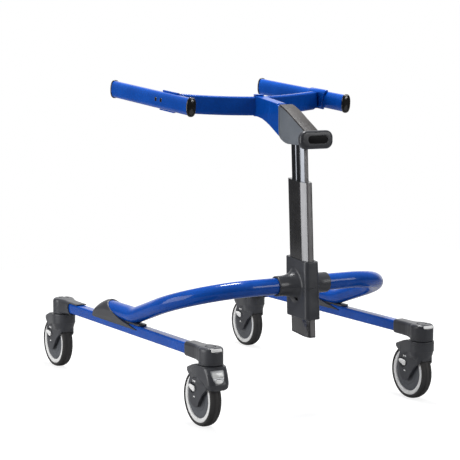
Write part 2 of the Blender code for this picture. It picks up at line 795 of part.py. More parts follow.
def build_bow():
    mesh = tube_along(bow_points(), BOW_RADIUS, BOW_RING_RESOLUTION, False)
    item = part("bow_tube", mesh, "blue_paint", origin)
    wall = item.modifiers.new("wall", "SOLIDIFY")
    wall.thickness = BOW_WALL
    wall.offset = -1.0


def build_saddles():
    """Wedges that grip the rail from above and hold the ends of the bowed tube."""
    low = RAIL_TOP - SADDLE_SKIRT
    half = BOW_RADIUS + GAP + SADDLE_WALL
    crest = BOW_END_HEIGHT + half
    side = [
        (SADDLE_REAR_Y, low),
        (SADDLE_REAR_Y - 0.004, RAIL_TOP - 0.003),
        (SADDLE_REAR_Y - 0.010, RAIL_TOP + 0.004),
        (SADDLE_REAR_Y - 0.018, RAIL_TOP + 0.011),
        (SADDLE_REAR_Y - 0.032, RAIL_TOP + 0.023),
        (SADDLE_REAR_Y - 0.048, RAIL_TOP + 0.032),
        (SADDLE_REAR_Y - 0.067, crest - 0.0025),
        (SADDLE_CREST_Y, crest),
        (SADDLE_OPENING_Y, crest),
        (SADDLE_OPENING_Y - 0.002, crest - 0.004),
        (0.090, crest - 0.0085),
        (0.082, crest - 0.0135),
        (0.067, crest - 0.0205),
        (0.036, crest - 0.0320),
        (0.013, crest - 0.0378),
        (SADDLE_FRONT_Y, RAIL_TOP - 0.0010),
        (SADDLE_SKIRT_FRONT_Y, low + 0.0010),
        (SADDLE_SKIRT_FRONT_Y + 0.001, low),
    ]
    skirt = RAIL_SIZE / 2 + GAP + SADDLE_WALL
    shoulder = RAIL_TOP + 0.001
    cross = arc((0.0, BOW_END_HEIGHT), half, 0, 180, 12)
    cross += [(-skirt - 0.002, shoulder), (-skirt, low - 0.001)]
    cross += [(skirt, low - 0.001), (skirt + 0.002, shoulder)]
    bore = [(x - TRACK / 2, y, z) for x, y, z in bow_points()[: BOW_BEND_STEPS + 4]]
    bore[0] = (0.0, BOW_END_Y + GAP, BOW_END_HEIGHT)
    rail_half = RAIL_SIZE / 2 + GAP
    rail_hole = rounded_rectangle(rail_half, rail_half, RAIL_CORNER, 3, (0.0, RAIL_TOP - RAIL_SIZE / 2))
    plan = mirrored_outline(
        [(half + 0.001, -0.100), (half + 0.001, 0.100), (half - 0.003, SADDLE_REAR_Y - 0.040)]
        + arc((0.0, SADDLE_REAR_Y - skirt), skirt, 20, 90, 5)
    )
    shared = pattern("saddle_pattern", plate([cross], -0.100, 0.300, "y"))
    keep_inside(shared, plate([side], -2 * half, 2 * half, "x"))
    keep_inside(shared, plate([plan], 0.0, 0.5, "z"))
    edge = TONGUE_WIDTH / 2
    tip = [(edge - 0.004, TONGUE_TIP_Y), (edge, TONGUE_TIP_Y + 0.004), (edge, SADDLE_FRONT_Y + 0.022)]
    tongue = mirrored_outline(tip)
    tongue_low = RAIL_TOP + GAP
    fuse(shared, plate([tongue], tongue_low, tongue_low + TONGUE_THICKNESS, "z"))
    cut(shared, tube_along(bore, BOW_RADIUS + GAP, BOW_RING_RESOLUTION, True))
    cut(shared, plate([rail_hole], -0.150, 0.350, "y"))
    mesh = merge_and_orient(evaluated_mesh(shared))
    for side_name, sign in SIDES.items():
        part(side_name + "_saddle", mesh, "black_plastic", origin, (sign * TRACK / 2, 0.0, 0.0))


# Mast, laid out along its own leaning axis


def tapered_section(half_u, half_v, corner, taper, face, grow=0.0):
    """Oblong section: small corners behind (+v), long oval corners towards a narrow front face."""
    rear = rounded_rectangle(half_u, half_v, corner, 3)[:8]
    left = []
    steps = 5
    for step in range(steps + 1):
        angle = math.pi / 2 * step / steps
        u = -face - (half_u - face) * math.cos(angle)
        v = -half_v + taper * (1 - math.sin(angle))
        left.append((u, v))
    right = [(-u, v) for u, v in reversed(left)]
    return [(u + math.copysign(grow, u), v + math.copysign(grow, v)) for u, v in rear + left + right]


def mast_outline():
    """The mast's section, with two fine grooves that set off a flat strip on its front face."""
    half = MAST_DEPTH / 2
    strip = MAST_FACE_STRIP / 2
    groove = strip + MAST_GROOVE_WIDTH
    outline = tapered_section(MAST_WIDTH / 2, half, MAST_CORNER, MAST_FRONT_TAPER, groove)
    floor = -half + MAST_GROOVE_DEPTH
    front = [(-groove, floor), (-strip, floor), (-strip, -half)]
    front += [(-u, v) for u, v in reversed(front)]
    split = 8 + 6
    return outline[:split] + front + outline[split:]


def mast_bore(grow):
    strip = MAST_FACE_STRIP / 2
    front = strip + MAST_GROOVE_WIDTH
    return tapered_section(MAST_WIDTH / 2, MAST_DEPTH / 2, MAST_CORNER, MAST_FRONT_TAPER, front, grow)


def between_slopes(low, low_slope, high, high_slope, half_x):
    """A slab of the mast between two planes that rise towards the back."""
    reach = 0.1
    outline = [
        (-reach, low - reach * low_slope),
        (reach, low + reach * low_slope),
        (reach, high + reach * high_slope),
        (-reach, high - reach * high_slope),
    ]
    return plate([outline], -half_x, half_x, "x")


def inner_section(grow):
    face = SCALE_WIDTH / 2 + GAP
    return tapered_section(INNER_WIDTH / 2, INNER_DEPTH / 2, INNER_CORNER, INNER_FRONT_TAPER, face, grow)


def inner_outline():
    """The inner mast's section, with a shallow flute in each side and a recess for the scale."""
    half_x = INNER_WIDTH / 2
    recess = SCALE_WIDTH / 2 + GAP
    floor = -INNER_DEPTH / 2 + SCALE_THICKNESS + GAP
    flute_x = half_x - INNER_FLUTE_DEPTH
    low = INNER_FLUTE_Y - INNER_FLUTE_LENGTH / 2
    high = INNER_FLUTE_Y + INNER_FLUTE_LENGTH / 2
    right = [(half_x, low), (flute_x, low + 0.001), (flute_x, high - 0.001), (half_x, high)]
    left = [(-u, v) for u, v in reversed(right)]
    outline = inner_section(0.0)
    return outline[:8] + left + outline[8:14] + [(-recess, floor), (recess, floor)] + outline[14:] + right


def build_mast():
    bow_y = -MAST_BEHIND_BOW * math.cos(MAST_LEAN)
    bow_z = -MAST_BEHIND_BOW * math.sin(MAST_LEAN)
    bow_bore = (bow_y, bow_z)
    spare = MAST_DEPTH * MAST_END_SLOPE
    outlines = [mast_outline(), inner_section(INNER_FIT)]
    tube = plate(outlines, -MAST_BELOW_BOW - spare, MAST_ABOVE_BOW + spare, "z")
    item = part("outer_mast", tube, "black_anodised", mast_frame)
    slope = MAST_END_SLOPE
    keep_inside(item, between_slopes(-MAST_BELOW_BOW, slope, MAST_ABOVE_BOW, slope, MAST_WIDTH))
    cut(item, cylinder(BOW_RADIUS + 2 * GAP, -MAST_WIDTH, MAST_WIDTH, "x", 24, bow_bore))
    pin_hole = SPRING_PIN_RADIUS + RUNNING_CLEARANCE
    cut(item, cylinder(pin_hole, -MAST_WIDTH, MAST_WIDTH, "x", 12, (SPRING_Y, SPRING_PIN_HEIGHT)))

    foot_top = -MAST_BELOW_BOW - GAP
    foot_low = foot_top - FOOT_THICKNESS
    plug = plate([inner_section(0.0)], foot_low - spare, foot_top + 2 * spare, "z")
    spigot = pattern("foot_spigot", plug)
    spigot_low = foot_low + FOOT_THICKNESS / 2
    spigot_top = foot_top + FOOT_SPIGOT
    keep_inside(spigot, between_slopes(spigot_low, slope, spigot_top, slope, MAST_WIDTH))
    rim = plate([mast_bore(0.0)], foot_low - spare, foot_top + spare, "z")
    foot = part("mast_foot", rim, "black_plastic", mast_frame)
    keep_inside(foot, between_slopes(foot_low, MAST_END_SLOPE, foot_top, MAST_END_SLOPE, MAST_WIDTH))
    fuse(foot, merge_and_orient(evaluated_mesh(spigot)))

    centre = (0.0, INNER_POCKET_Y)
    pocket = rounded_rectangle(INNER_POCKET_WIDTH / 2, INNER_POCKET_LENGTH / 2, 0.002, 1, centre)
    spring_bore = arc((0.0, SPRING_Y), SPRING_RADIUS + RUNNING_CLEARANCE, 0, 345, 15)
    section = [inner_outline(), pocket, spring_bore]
    part("inner_mast", plate(section, INNER_BOTTOM, INNER_TOP, "z"), "aluminium", mast_frame)
    part("height_scale", scale_mesh(), "aluminium", mast_frame)


def scale_mesh():
    """A strip in the inner mast's front recess, notched across its face at a steady pitch."""
    low = INNER_BOTTOM + SCALE_MARGIN
    high = INNER_TOP - SCALE_MARGIN
    front = -INNER_DEPTH / 2
    outline = [(front + SCALE_THICKNESS, low), (front + SCALE_THICKNESS, high), (front, high)]
    z = HEAD_DISTANCE - SCALE_PITCH
    while z > low + SCALE_PITCH:
        outline += [(front, z + SCALE_NOTCH_HALF), (front + SCALE_NOTCH_DEPTH, z)]
        outline += [(front, z - SCALE_NOTCH_HALF)]
        z -= SCALE_PITCH
    outline.append((front, low))
    return plate([outline], -SCALE_WIDTH / 2, SCALE_WIDTH / 2, "x")


def build_gas_spring():
    rod_low = SPRING_PIN_HEIGHT - SPRING_PIN_RADIUS / 2
    rod_top = SPRING_PIN_HEIGHT + SPRING_ROD_LENGTH
    shaft = cylinder(SPRING_ROD_RADIUS, rod_low, rod_top, "z", 12, (0.0, SPRING_Y))
    rod = part("gas_spring_rod", shaft, "steel", mast_frame)
    reach = MAST_WIDTH / 2 - GAP
    fuse(rod, cylinder(SPRING_PIN_RADIUS, -reach, reach, "x", 12, (SPRING_Y, SPRING_PIN_HEIGHT)))

    low = INNER_BOTTOM + SPRING_BOTTOM_INSET
    high = INNER_TOP - GAP
    body = cylinder(SPRING_RADIUS, low, high, "z", 16, (0.0, SPRING_Y))
    spring = part("gas_spring_cylinder", body, "black_anodised", mast_frame)
    bore = SPRING_ROD_RADIUS + RUNNING_CLEARANCE
    cut(spring, cylinder(bore, low - 0.010, high - SPRING_TOP_WALL, "z", 12, (0.0, SPRING_Y)))
    valve_hole = VALVE_RADIUS + RUNNING_CLEARANCE
    cut(spring, cylinder(valve_hole, high - VALVE_DEPTH - 0.0035, high + 0.010, "z", 10, (0.0, SPRING_Y)))
    valve = cylinder(VALVE_RADIUS, high - VALVE_DEPTH, high + VALVE_STAND, "z", 10, (0.0, SPRING_Y))
    part("valve_pin", valve, "steel", mast_frame)


def build_hub():
    """Upper and lower clamps, parted through the bowed tube's axis."""
    bow_y = -MAST_BEHIND_BOW * math.cos(MAST_LEAN)
    bow_z = -MAST_BEHIND_BOW * math.sin(MAST_LEAN)
    body = rounded_rectangle(HUB_WIDTH / 2, HUB_DEPTH / 2, HUB_CORNER, 3, (0.0, HUB_BEHIND_MAST))
    collar_radius = BOW_RADIUS + COLLAR_WALL
    half = [
        (collar_radius, COLLAR_REACH),
        (collar_radius + 0.001, COLLAR_NECK),
        (COLLAR_ROOT_RADIUS, HUB_WIDTH / 2 - 0.001),
    ]
    profile = [(0.0, COLLAR_REACH)] + half + [(r, -x) for r, x in reversed(half)] + [(0.0, -COLLAR_REACH)]
    spare = HUB_DEPTH * HUB_TOP_SLOPE
    lower = (-HUB_BELOW, HUB_BOTTOM_SLOPE, bow_z - GAP / 2 - bow_y * HUB_SEAM_SLOPE, HUB_SEAM_SLOPE)
    upper = (bow_z + GAP / 2 - bow_y * HUB_SEAM_SLOPE, HUB_SEAM_SLOPE, HUB_ABOVE, HUB_TOP_SLOPE)
    for name, limits in (("hub_lower_clamp", lower), ("hub_upper_clamp", upper)):
        block = plate([body], limits[0] - spare, limits[2] + spare, "z")
        item = part(name, block, "black_plastic", mast_frame)
        collars = turned(profile, NECK_SIDES, False)
        collars.transform(Matrix.Translation((0.0, bow_y, bow_z)))
        fuse(item, collars)
        keep_inside(item, between_slopes(*limits, COLLAR_REACH + 0.01))
        cut(item, cylinder(BOW_RADIUS + 2 * GAP, -0.1, 0.1, "x", 24, (bow_y, bow_z)))
        cut(item, plate([mast_bore(GAP)], -0.2, 0.2, "z"))
        if name == "hub_lower_clamp":
            face = HUB_WIDTH / 2
            seat = face - HUB_BOLT_DEPTH
            for near, far in ((-face - 0.020, -seat), (seat, face + 0.020)):
                cut(item, cylinder(HUB_BOLT_RADIUS, near, far, "x", 10, (HUB_BOLT_Y, -HUB_BOLT_DROP)))


# Head, neck and release lever, laid out in the head frame


def neck_outline():
    """Side view of the blue neck: a block round the mast's top, swept back and up to the yoke pin."""
    top = yoke_levels()[3][1]
    return [
        (YOKE_SETBACK, YOKE_BOTTOM),
        (YOKE_SETBACK, top),
        (YOKE_SETBACK - 0.012, top - 0.001),
        (0.0785, 0.0888),
        (0.0765, 0.0848),
        (0.0600, 0.0805),
        (0.0380, 0.0725),
        (0.0230, 0.0660),
        (-0.0010, 0.0520),
        (-0.0300, 0.0350),
        (-0.0355, 0.0300),
        (-0.0355, 0.0110),
        (-0.0310, HEAD_WALL + GAP),
        (0.0450, HEAD_WALL + GAP),
        (0.0617, 0.0115),
        (0.0717, 0.0155),
        (0.0967, 0.0300),
        (0.1247, 0.0440),
        (YOKE_SETBACK - 0.016, YOKE_BOTTOM),
    ]


def yoke_levels():
    """Low and high ends of the four knuckles on the yoke pin, lowest first."""
    pitch = KNUCKLE_HEIGHT + KNUCKLE_GAP
    lows = [YOKE_BOTTOM + pitch * index for index in range(4)]
    return [(low, low + KNUCKLE_HEIGHT) for low in lows]


def mast_socket(grow, low, high):
    """A prism on the mast's leaning axis, given in the head frame."""
    outline = rounded_rectangle(INNER_WIDTH / 2 + grow, INNER_DEPTH / 2 + grow, INNER_CORNER, 2)
    mesh = plate([outline], low, high, "z")
    mesh.transform(Matrix.Rotation(-MAST_LEAN, 4, "X"))
    return mesh


def build_neck():
    levels = yoke_levels()
    block = plate([neck_outline()], -NECK_HALF_WIDTH, NECK_HALF_WIDTH, "x")
    neck = part("neck", block, "blue_paint", head_frame)
    centre = (0.0, YOKE_SETBACK)
    for low, high in (levels[0], levels[3]):
        fuse(neck, cylinder(YOKE_BARREL_RADIUS, low, high, "z", 20, centre))
    clear = YOKE_BARREL_RADIUS + 2 * GAP
    cut(neck, cylinder(clear, levels[0][1], levels[3][0], "z", 20, centre))
    cut(neck, cylinder(YOKE_PIN_RADIUS + RUNNING_CLEARANCE, 0.0, 0.2, "z", 16, centre))
    cut(neck, mast_socket(GAP, -0.030, INNER_IN_HEAD + GAP))
    slot = LEVER_HALF_WIDTH + LEVER_SLOT_CLEARANCE
    floor = INNER_IN_HEAD - 0.0005
    slot_outline = [(0.0450, floor), (-0.0262, floor), (-0.0262, 0.0120), (-0.0360, 0.0060)]
    slot_outline += [(-0.0600, 0.0040)]
    slot_outline += [(-0.0600, 0.1000), (0.0450, 0.1000)]
    cut(neck, plate([slot_outline], -slot, slot, "x"))
    pin_reach = NECK_HALF_WIDTH - 0.002
    pin_hole = LEVER_PIN_RADIUS + RUNNING_CLEARANCE
    cut(neck, cylinder(pin_hole, -pin_reach - GAP, pin_reach + GAP, "x", 12, LEVER_PIVOT))

    pin_low = levels[0][0] - 0.001
    cap_low = levels[3][1] + GAP
    shaft = cylinder(YOKE_PIN_RADIUS, pin_low, cap_low + 0.001, "z", 16, centre)
    pin = part("yoke_pin", shaft, "blue_paint", head_frame)
    fuse(pin, cylinder(YOKE_BARREL_RADIUS, cap_low, cap_low + YOKE_CAP_THICKNESS, "z", 20, centre))


def ridge_line(rise):
    """The line along the top of the head, rear end first, lifted by the given rise."""
    points = [(0.0620, 0.0860), (0.0390, 0.0770), (0.0240, 0.0710), (0.0000, 0.0572)]
    points += [(-0.0390, 0.0355), (-0.0500, 0.0290)]
    return [(y, z + rise) for y, z in points]


def build_head():
    rear = 0.0750
    under = list(reversed(ridge_line(GAP - RIDGE_STEP)))
    ridge_outline = [(rear, 0.0888)] + ridge_line(RIDGE_RISE) + under + [(rear, 0.0856)]
    half = HEAD_HALF_WIDTH
    ridge = part("head_ridge", plate([ridge_outline], -half, half, "x"), "brown_grey_plastic", head_frame)
    rounded(ridge, RIDGE_ROUNDING, 1)

    seam = list(reversed(ridge_line(-RIDGE_STEP)))
    cheek = seam + [(0.0660, 0.0840), (0.0650, 0.0340), (0.0620, 0.0160), (0.0460, 0.0050), (0.0267, 0.0)]
    cheek += [(-0.0173, 0.0), (-0.0360, 0.0040), (-0.0450, 0.0170)]
    pocket = [(0.0610, 0.0900), (0.0610, 0.0340), (0.0580, 0.0175), (0.0450, HEAD_WALL), (-0.0310, HEAD_WALL),
              (-0.0358, 0.0108), (-0.0364, 0.0300), (-0.0364, 0.1000), (0.0610, 0.1000)]
    neck_gate = [(0.0450, HEAD_WALL), (0.0617, 0.0112), (0.0750, 0.0165), (0.0750, 0.1000), (0.0450, 0.1000)]
    gate_half = NECK_HALF_WIDTH + GAP
    lever_gate = [(-0.060, 0.002), (-0.030, 0.006), (-0.030, 0.060), (-0.060, 0.060)]
    lever_half = LEVER_HALF_WIDTH + LEVER_SLOT_CLEARANCE
    for side, sign in SIDES.items():
        low, high = sorted((sign * GAP / 2, sign * half))
        cover = part("head_" + side + "_cover", plate([cheek], low, high, "x"), "grey_plastic", head_frame)
        cut(cover, plate([pocket], -gate_half, gate_half, "x"))
        cut(cover, plate([neck_gate], -gate_half, gate_half, "x"))
        cut(cover, plate([lever_gate], -lever_half, lever_half, "x"))
        cut(cover, mast_socket(GAP, -0.030, 0.030))


def build_lever():
    """A transverse paddle on an arm that reaches back over the valve pin to its pivot."""
    axis = empty("release_lever_axis", head_frame, (0.0, *LEVER_PIVOT))
    y0, z0 = LEVER_PIVOT
    back = PADDLE_FRONT + PADDLE_DEPTH / 2
    crest = [(y0, z0 + LEVER_BOSS_RADIUS), (-0.0076, 0.0480), (-0.0275, 0.0385), (-0.0400, 0.0310)]
    crest += [(-0.0500, 0.0260), (back, 0.0260)]
    under = [(back, 0.0110), (-0.0420, 0.0130), (-0.0320, 0.0200), (-0.0300, 0.0300)]
    under += [(-0.0270, 0.0325), (-0.0040, 0.0325)]
    arm = [(y - y0, z - z0) for y, z in crest + under + [(y0, z0 - LEVER_BOSS_RADIUS)]]
    middle = (0.0, PADDLE_MIDDLE - z0)
    face = rounded_rectangle(PADDLE_HALF_WIDTH, PADDLE_HALF_HEIGHT, PADDLE_CORNER, 4, middle)
    paddle = plate([face], PADDLE_FRONT - y0, PADDLE_FRONT + PADDLE_DEPTH - y0, "y")
    lever = part("release_lever", paddle, "black_plastic", axis)
    rounded(lever, PADDLE_ROUNDING, 2)
    half = LEVER_HALF_WIDTH
    fuse(lever, plate([arm], -half, half, "x"))
    fuse(lever, cylinder(LEVER_BOSS_RADIUS, -half, half, "x", 16))
    pin_reach = NECK_HALF_WIDTH - 0.002 - GAP
    fuse(lever, cylinder(LEVER_PIN_RADIUS, -pin_reach, pin_reach, "x", 12))


# Yoke bars and arms


def bar_outline(sign):
    """Top view of a bar from the yoke pin to the arm pin, with stations along its straight sides."""
    start = Vector((0.0, 0.0))
    end = Vector((sign * ARM_PIN_X, ARM_PIN_FROM_YOKE))
    along = (end - start).normalized()
    side = Vector((-along.y, along.x)) * BAR_THICKNESS / 2
    length = (end - start).length
    first = YOKE_BARREL_RADIUS / 2
    stations = [first + (length - first) * step / BAR_STATIONS for step in range(BAR_STATIONS + 1)]
    upper = [start + along * place + side for place in stations]
    lower = [start + along * place - side for place in reversed(stations)]
    return [tuple(point) for point in upper + lower]


def build_bar(side, sign, yoke_axis):
    levels = yoke_levels()
    own = levels[1] if side == "right" else levels[2]
    length = math.hypot(ARM_PIN_X, ARM_PIN_FROM_YOKE)
    low = YOKE_MIDDLE - BAR_HEIGHT / 2
    guide = pattern(side + "_bar_pattern", plate([bar_outline(sign)], low, low + BAR_HEIGHT, "z"))
    rounded(guide, BAR_ROUNDING, 2)
    mesh = evaluated_mesh(guide)
    bpy.data.objects.remove(guide)
    for vertex in mesh.vertices:
        share = math.hypot(vertex.co.x, vertex.co.y) / length
        vertex.co.z += BAR_RISE * min(share, 1.0) ** 2
    item = part(side + "_bar", merge_and_orient(mesh), "blue_paint", yoke_axis)
    clear = YOKE_BARREL_RADIUS + 2 * GAP
    cut(item, cylinder(clear, -0.1, 0.2, "z", 20))
    beside = NECK_HALF_WIDTH + GAP
    cut(item, box((-beside, -0.1, -0.1), (beside, 0.0, 0.2)))
    tongue_end = math.hypot(clear, BAR_THICKNESS / 2) + 0.004
    along = Vector((sign * ARM_PIN_X, ARM_PIN_FROM_YOKE)).normalized()
    across = Vector((-along.y, along.x)) * (YOKE_BARREL_RADIUS * 0.48)
    end = along * tongue_end
    tongue = [tuple(across), tuple(end + across), tuple(end - across), tuple(-across)]
    fuse(item, cylinder(YOKE_BARREL_RADIUS, own[0], own[1], "z", 20))
    fuse(item, plate([tongue], own[0] + 0.0001, own[1] - 0.0001, "z"))
    cut(item, cylinder(YOKE_PIN_RADIUS + RUNNING_CLEARANCE, -0.1, 0.2, "z", 16))

    arm_centre = (sign * ARM_PIN_X, ARM_PIN_FROM_YOKE)
    arm_clear = ARM_BARREL_RADIUS + 2 * GAP
    lug_low = ARM_MIDDLE - ARM_KNUCKLE_HEIGHT / 2
    lug_high = ARM_MIDDLE + ARM_KNUCKLE_HEIGHT / 2
    cut(item, cylinder(arm_clear, -0.1, lug_low, "z", 16, arm_centre))
    cut(item, cylinder(arm_clear, lug_high, 0.2, "z", 16, arm_centre))
    beyond = Vector(arm_centre) + along * ARM_BARREL_RADIUS * 0.2
    flank = Vector((-along.y, along.x)) * 0.030
    far = along * 0.040
    corners = (beyond + flank, beyond - flank, beyond - flank + far, beyond + flank + far)
    trim = [tuple(corner) for corner in corners]
    cut(item, plate([trim], -0.1, 0.2, "z"))
    fuse(item, cylinder(ARM_BARREL_RADIUS, lug_low, lug_high, "z", 16, arm_centre))
    cut(item, cylinder(ARM_PIN_RADIUS + RUNNING_CLEARANCE, -0.1, 0.2, "z", 12, arm_centre))


def oval(half_width, half_height, steps):
    """A tall oval: half circles at top and bottom blended with slightly bowed sides."""
    points = []
    for step in range(steps):
        angle = 2 * math.pi * step / steps
        c = math.cos(angle)
        s = math.sin(angle)
        across = half_width * math.copysign(abs(c) ** 0.75, c)
        up = half_height * math.copysign(abs(s) ** 0.85, s)
        points.append((across, up))
    return points


def build_arm(side, sign, arm_axis):
    """Bracket, tube and end caps; x points from the pin outwards to the tube."""
    outwards = sign * ARM_PIN_OFFSET
    tube_height = ARM_MIDDLE + ARM_TUBE_ABOVE_PIN
    tube_centre = (outwards, ARM_TUBE_BEHIND_PIN, tube_height)
    tube_frame = empty(side + "_arm_frame", arm_axis, tube_centre, (ARM_PITCH, 0.0, 0.0))
    half_w = ARM_TUBE_WIDTH / 2
    half_h = ARM_TUBE_HEIGHT / 2
    half_length = ARM_TUBE_LENGTH / 2
    section = [oval(half_w, half_h, 18), oval(half_w - ARM_TUBE_WALL, half_h - ARM_TUBE_WALL, 18)]
    part(side + "_arm_tube", plate(section, -half_length, half_length, "y"), "blue_paint", tube_frame)

    cap_inner = half_length + GAP
    cap_outer = cap_inner + CAP_THICKNESS
    cap_shape = oval(half_w + CAP_LIP / 2, half_h + CAP_LIP, 18)
    plug = oval(half_w - ARM_TUBE_WALL - 2 * GAP, half_h - ARM_TUBE_WALL - 2 * GAP, 12)
    shared = pattern(side + "_cap_pattern", plate([cap_shape], cap_inner, cap_outer, "y"))
    rounded(shared, CAP_THICKNESS / 3, 1)
    fuse(shared, plate([plug], cap_inner - CAP_SPIGOT, cap_inner + 0.001, "y"))
    cap = merge_and_orient(evaluated_mesh(shared))
    part(side + "_rear_cap", cap, "black_plastic", tube_frame)
    front = part(side + "_front_cap", cap, "black_plastic", tube_frame)
    front.rotation_euler = (0.0, 0.0, math.pi)

    middle = BRACKET_BEHIND_PIN - ARM_TUBE_BEHIND_PIN
    grow = GAP + BRACKET_WALL
    shell = rounded_rectangle(half_w + grow, half_h + grow, 0.009, 3)
    reach = BRACKET_LENGTH / 2
    blank = plate([shell], middle - reach, middle + reach, "y")
    bracket = part(side + "_bracket", blank, "blue_paint", tube_frame)
    top = half_h + 2 * grow
    slant = [(middle + reach, -top), (middle + reach - 0.016, top)]
    slant += [(middle - reach, top), (middle - reach + 0.016, -top)]
    keep_inside(bracket, plate([slant], -0.1, 0.1, "x"))
    hole = oval(half_w + GAP, half_h + GAP, 18)
    cut(bracket, plate([hole], -0.2, 0.2, "y"))
    near, far = sorted((-sign * BRACKET_LIP, sign * 0.040))
    cut(bracket, box((near, -0.2, -0.05), (far, 0.2, 0.05)))
    to_pin = Matrix.Rotation(-ARM_PITCH, 4, "X")
    to_pin = to_pin @ Matrix.Translation((-outwards, -ARM_TUBE_BEHIND_PIN, -tube_height))
    inner_face = sign * (ARM_PIN_OFFSET - half_w - GAP - BRACKET_WALL * 0.5)
    reach = ARM_BARREL_RADIUS * 0.8
    web = [(0.0, -reach), (inner_face, -reach), (inner_face, reach), (0.0, reach)]
    lug_half = ARM_KNUCKLE_HEIGHT / 2 + KNUCKLE_GAP
    barrel_half = ARM_BARREL_HEIGHT / 2
    barrel_low = ARM_MIDDLE - barrel_half
    barrel_high = ARM_MIDDLE + barrel_half
    for low, high in ((barrel_low, ARM_MIDDLE - lug_half), (ARM_MIDDLE + lug_half, barrel_high)):
        barrel = cylinder(ARM_BARREL_RADIUS, low, high, "z", 16)
        for mesh in (barrel, plate([web], low + 0.0001, high - 0.0001, "z")):
            mesh.transform(to_pin)
            fuse(bracket, mesh)
    pin = cylinder(ARM_PIN_RADIUS, barrel_low + 0.001, barrel_high - 0.001, "z", 12)
    pin.transform(to_pin)
    fuse(bracket, pin)


def build_arms():
    for side, sign in SIDES.items():
        yoke_axis = empty(side + "_bar_axis", head_frame, (0.0, YOKE_SETBACK, 0.0))
        build_bar(side, sign, yoke_axis)
        arm_axis = empty(side + "_arm_axis", yoke_axis, (sign * ARM_PIN_X, ARM_PIN_FROM_YOKE, 0.0))
        build_arm(side, sign, arm_axis)


build_casters()
build_elbows()
build_rails()
build_bow()
build_saddles()
build_mast()
build_gas_spring()
build_hub()
build_neck()
build_head()
build_lever()
build_arms()
bpy.context.view_layer.update()
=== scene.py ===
import math

import bmesh
import bpy
from mathutils import Matrix, Vector


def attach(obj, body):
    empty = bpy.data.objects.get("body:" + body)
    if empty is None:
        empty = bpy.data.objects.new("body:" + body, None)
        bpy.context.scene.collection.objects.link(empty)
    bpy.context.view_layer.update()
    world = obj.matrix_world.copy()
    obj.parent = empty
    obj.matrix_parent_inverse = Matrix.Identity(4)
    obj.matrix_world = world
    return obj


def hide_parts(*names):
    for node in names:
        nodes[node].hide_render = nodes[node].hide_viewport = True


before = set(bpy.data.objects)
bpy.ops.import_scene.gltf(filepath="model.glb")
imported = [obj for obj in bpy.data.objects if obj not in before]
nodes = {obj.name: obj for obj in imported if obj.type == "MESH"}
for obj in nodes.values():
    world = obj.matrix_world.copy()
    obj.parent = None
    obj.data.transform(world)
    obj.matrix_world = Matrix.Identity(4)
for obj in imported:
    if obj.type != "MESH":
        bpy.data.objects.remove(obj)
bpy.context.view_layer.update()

sides = {"right": -1, "left": 1}
bow = {"radius": 0.019, "end": 0.07825, "bend": -0.04675, "front": -0.31675, "rise": 0.331,
       "endHeight": 0.1946, "bendRadius": 0.130, "cornerRadius": 0.155, "halfTrack": 0.282}
mastTurn = Matrix.Rotation(math.radians(-3.48), 4, "X")     # the mast leans back
mastPlace = Matrix.Translation((0.0, -0.32675, 0.28397)) @ mastTurn
headPlace = Matrix.Translation((0.0, -0.307544, 0.599787))
swivels = {"front_left": (0.282, -0.39875), "front_right": (-0.282, -0.39875),
           "rear_left": (0.282, 0.34525), "rear_right": (-0.282, 0.34525)}
trail = 0.036                     # how far a wheel runs behind its swivel
axleHeight = 0.0635
fit = 0.0003                      # play between pieces that sit in one another


# Modelling by operators

def restAll():
    if bpy.context.object and bpy.context.object.mode != "OBJECT":
        bpy.ops.object.mode_set(mode="OBJECT")
    bpy.ops.object.select_all(action="DESELECT")


def pickUp(*pieces):
    restAll()
    for piece in pieces:
        piece.select_set(True)
    bpy.context.view_layer.objects.active = pieces[0]


def editAll(piece, kind="FACE"):
    pickUp(piece)
    bpy.ops.object.mode_set(mode="EDIT")
    bpy.ops.mesh.select_mode(type=kind)
    bpy.ops.mesh.select_all(action="SELECT")


def loopOf(name, points):
    restAll()
    bpy.ops.mesh.primitive_circle_add(vertices=len(points), radius=0.01, fill_type="NOTHING")
    piece = bpy.context.object
    piece.name = name
    piece.data.name = name
    for vertex, point in zip(piece.data.vertices, points):
        vertex.co = point
    return piece


def leaveEdit(weld=False):
    bpy.ops.mesh.select_all(action="SELECT")
    if weld:
        bpy.ops.mesh.remove_doubles(threshold=0.000005)
    bpy.ops.mesh.normals_make_consistent(inside=False)
    restAll()


def loftOf(name, rings):
    # the first ring is filled, then its face is extruded and set on each next ring
    piece = loopOf(name, rings[0])
    editAll(piece, "EDGE")
    bpy.ops.mesh.edge_face_add()
    for before, after in zip(rings, rings[1:]):
        bpy.ops.mesh.extrude_region_move(TRANSFORM_OT_translate={"value": (0.0, 0.0, 0.0)})
        shape = bmesh.from_edit_mesh(piece.data)
        spots = [Vector(point) for point in before]
        for vertex in [v for v in shape.verts if v.select]:
            nearest = min(range(len(spots)), key=lambda i: (spots[i] - vertex.co).length_squared)
            vertex.co = after[nearest]
        bmesh.update_edit_mesh(piece.data)
    leaveEdit()
    return piece


def facing(axis, u, v, along):
    return {"x": (along, u, v), "y": (u, along, v), "z": (u, v, along)}[axis]


def slabOf(name, outline, axis, low, high):
    rings = [[facing(axis, u, v, along) for u, v in outline] for along in (low, high)]
    return loftOf(name, rings)


def latheOf(name, profile, centre, steps):
    # a closed profile of (radius, place along X) spun about the X axis through centre
    cx, cy, cz = centre
    piece = loopOf(name, [(cx + along, cy, cz + radius) for radius, along in profile])
    editAll(piece, "EDGE")
    bpy.ops.mesh.spin(steps=steps, angle=2 * math.pi, center=centre, axis=(1.0, 0.0, 0.0))
    leaveEdit(weld=True)
    return piece


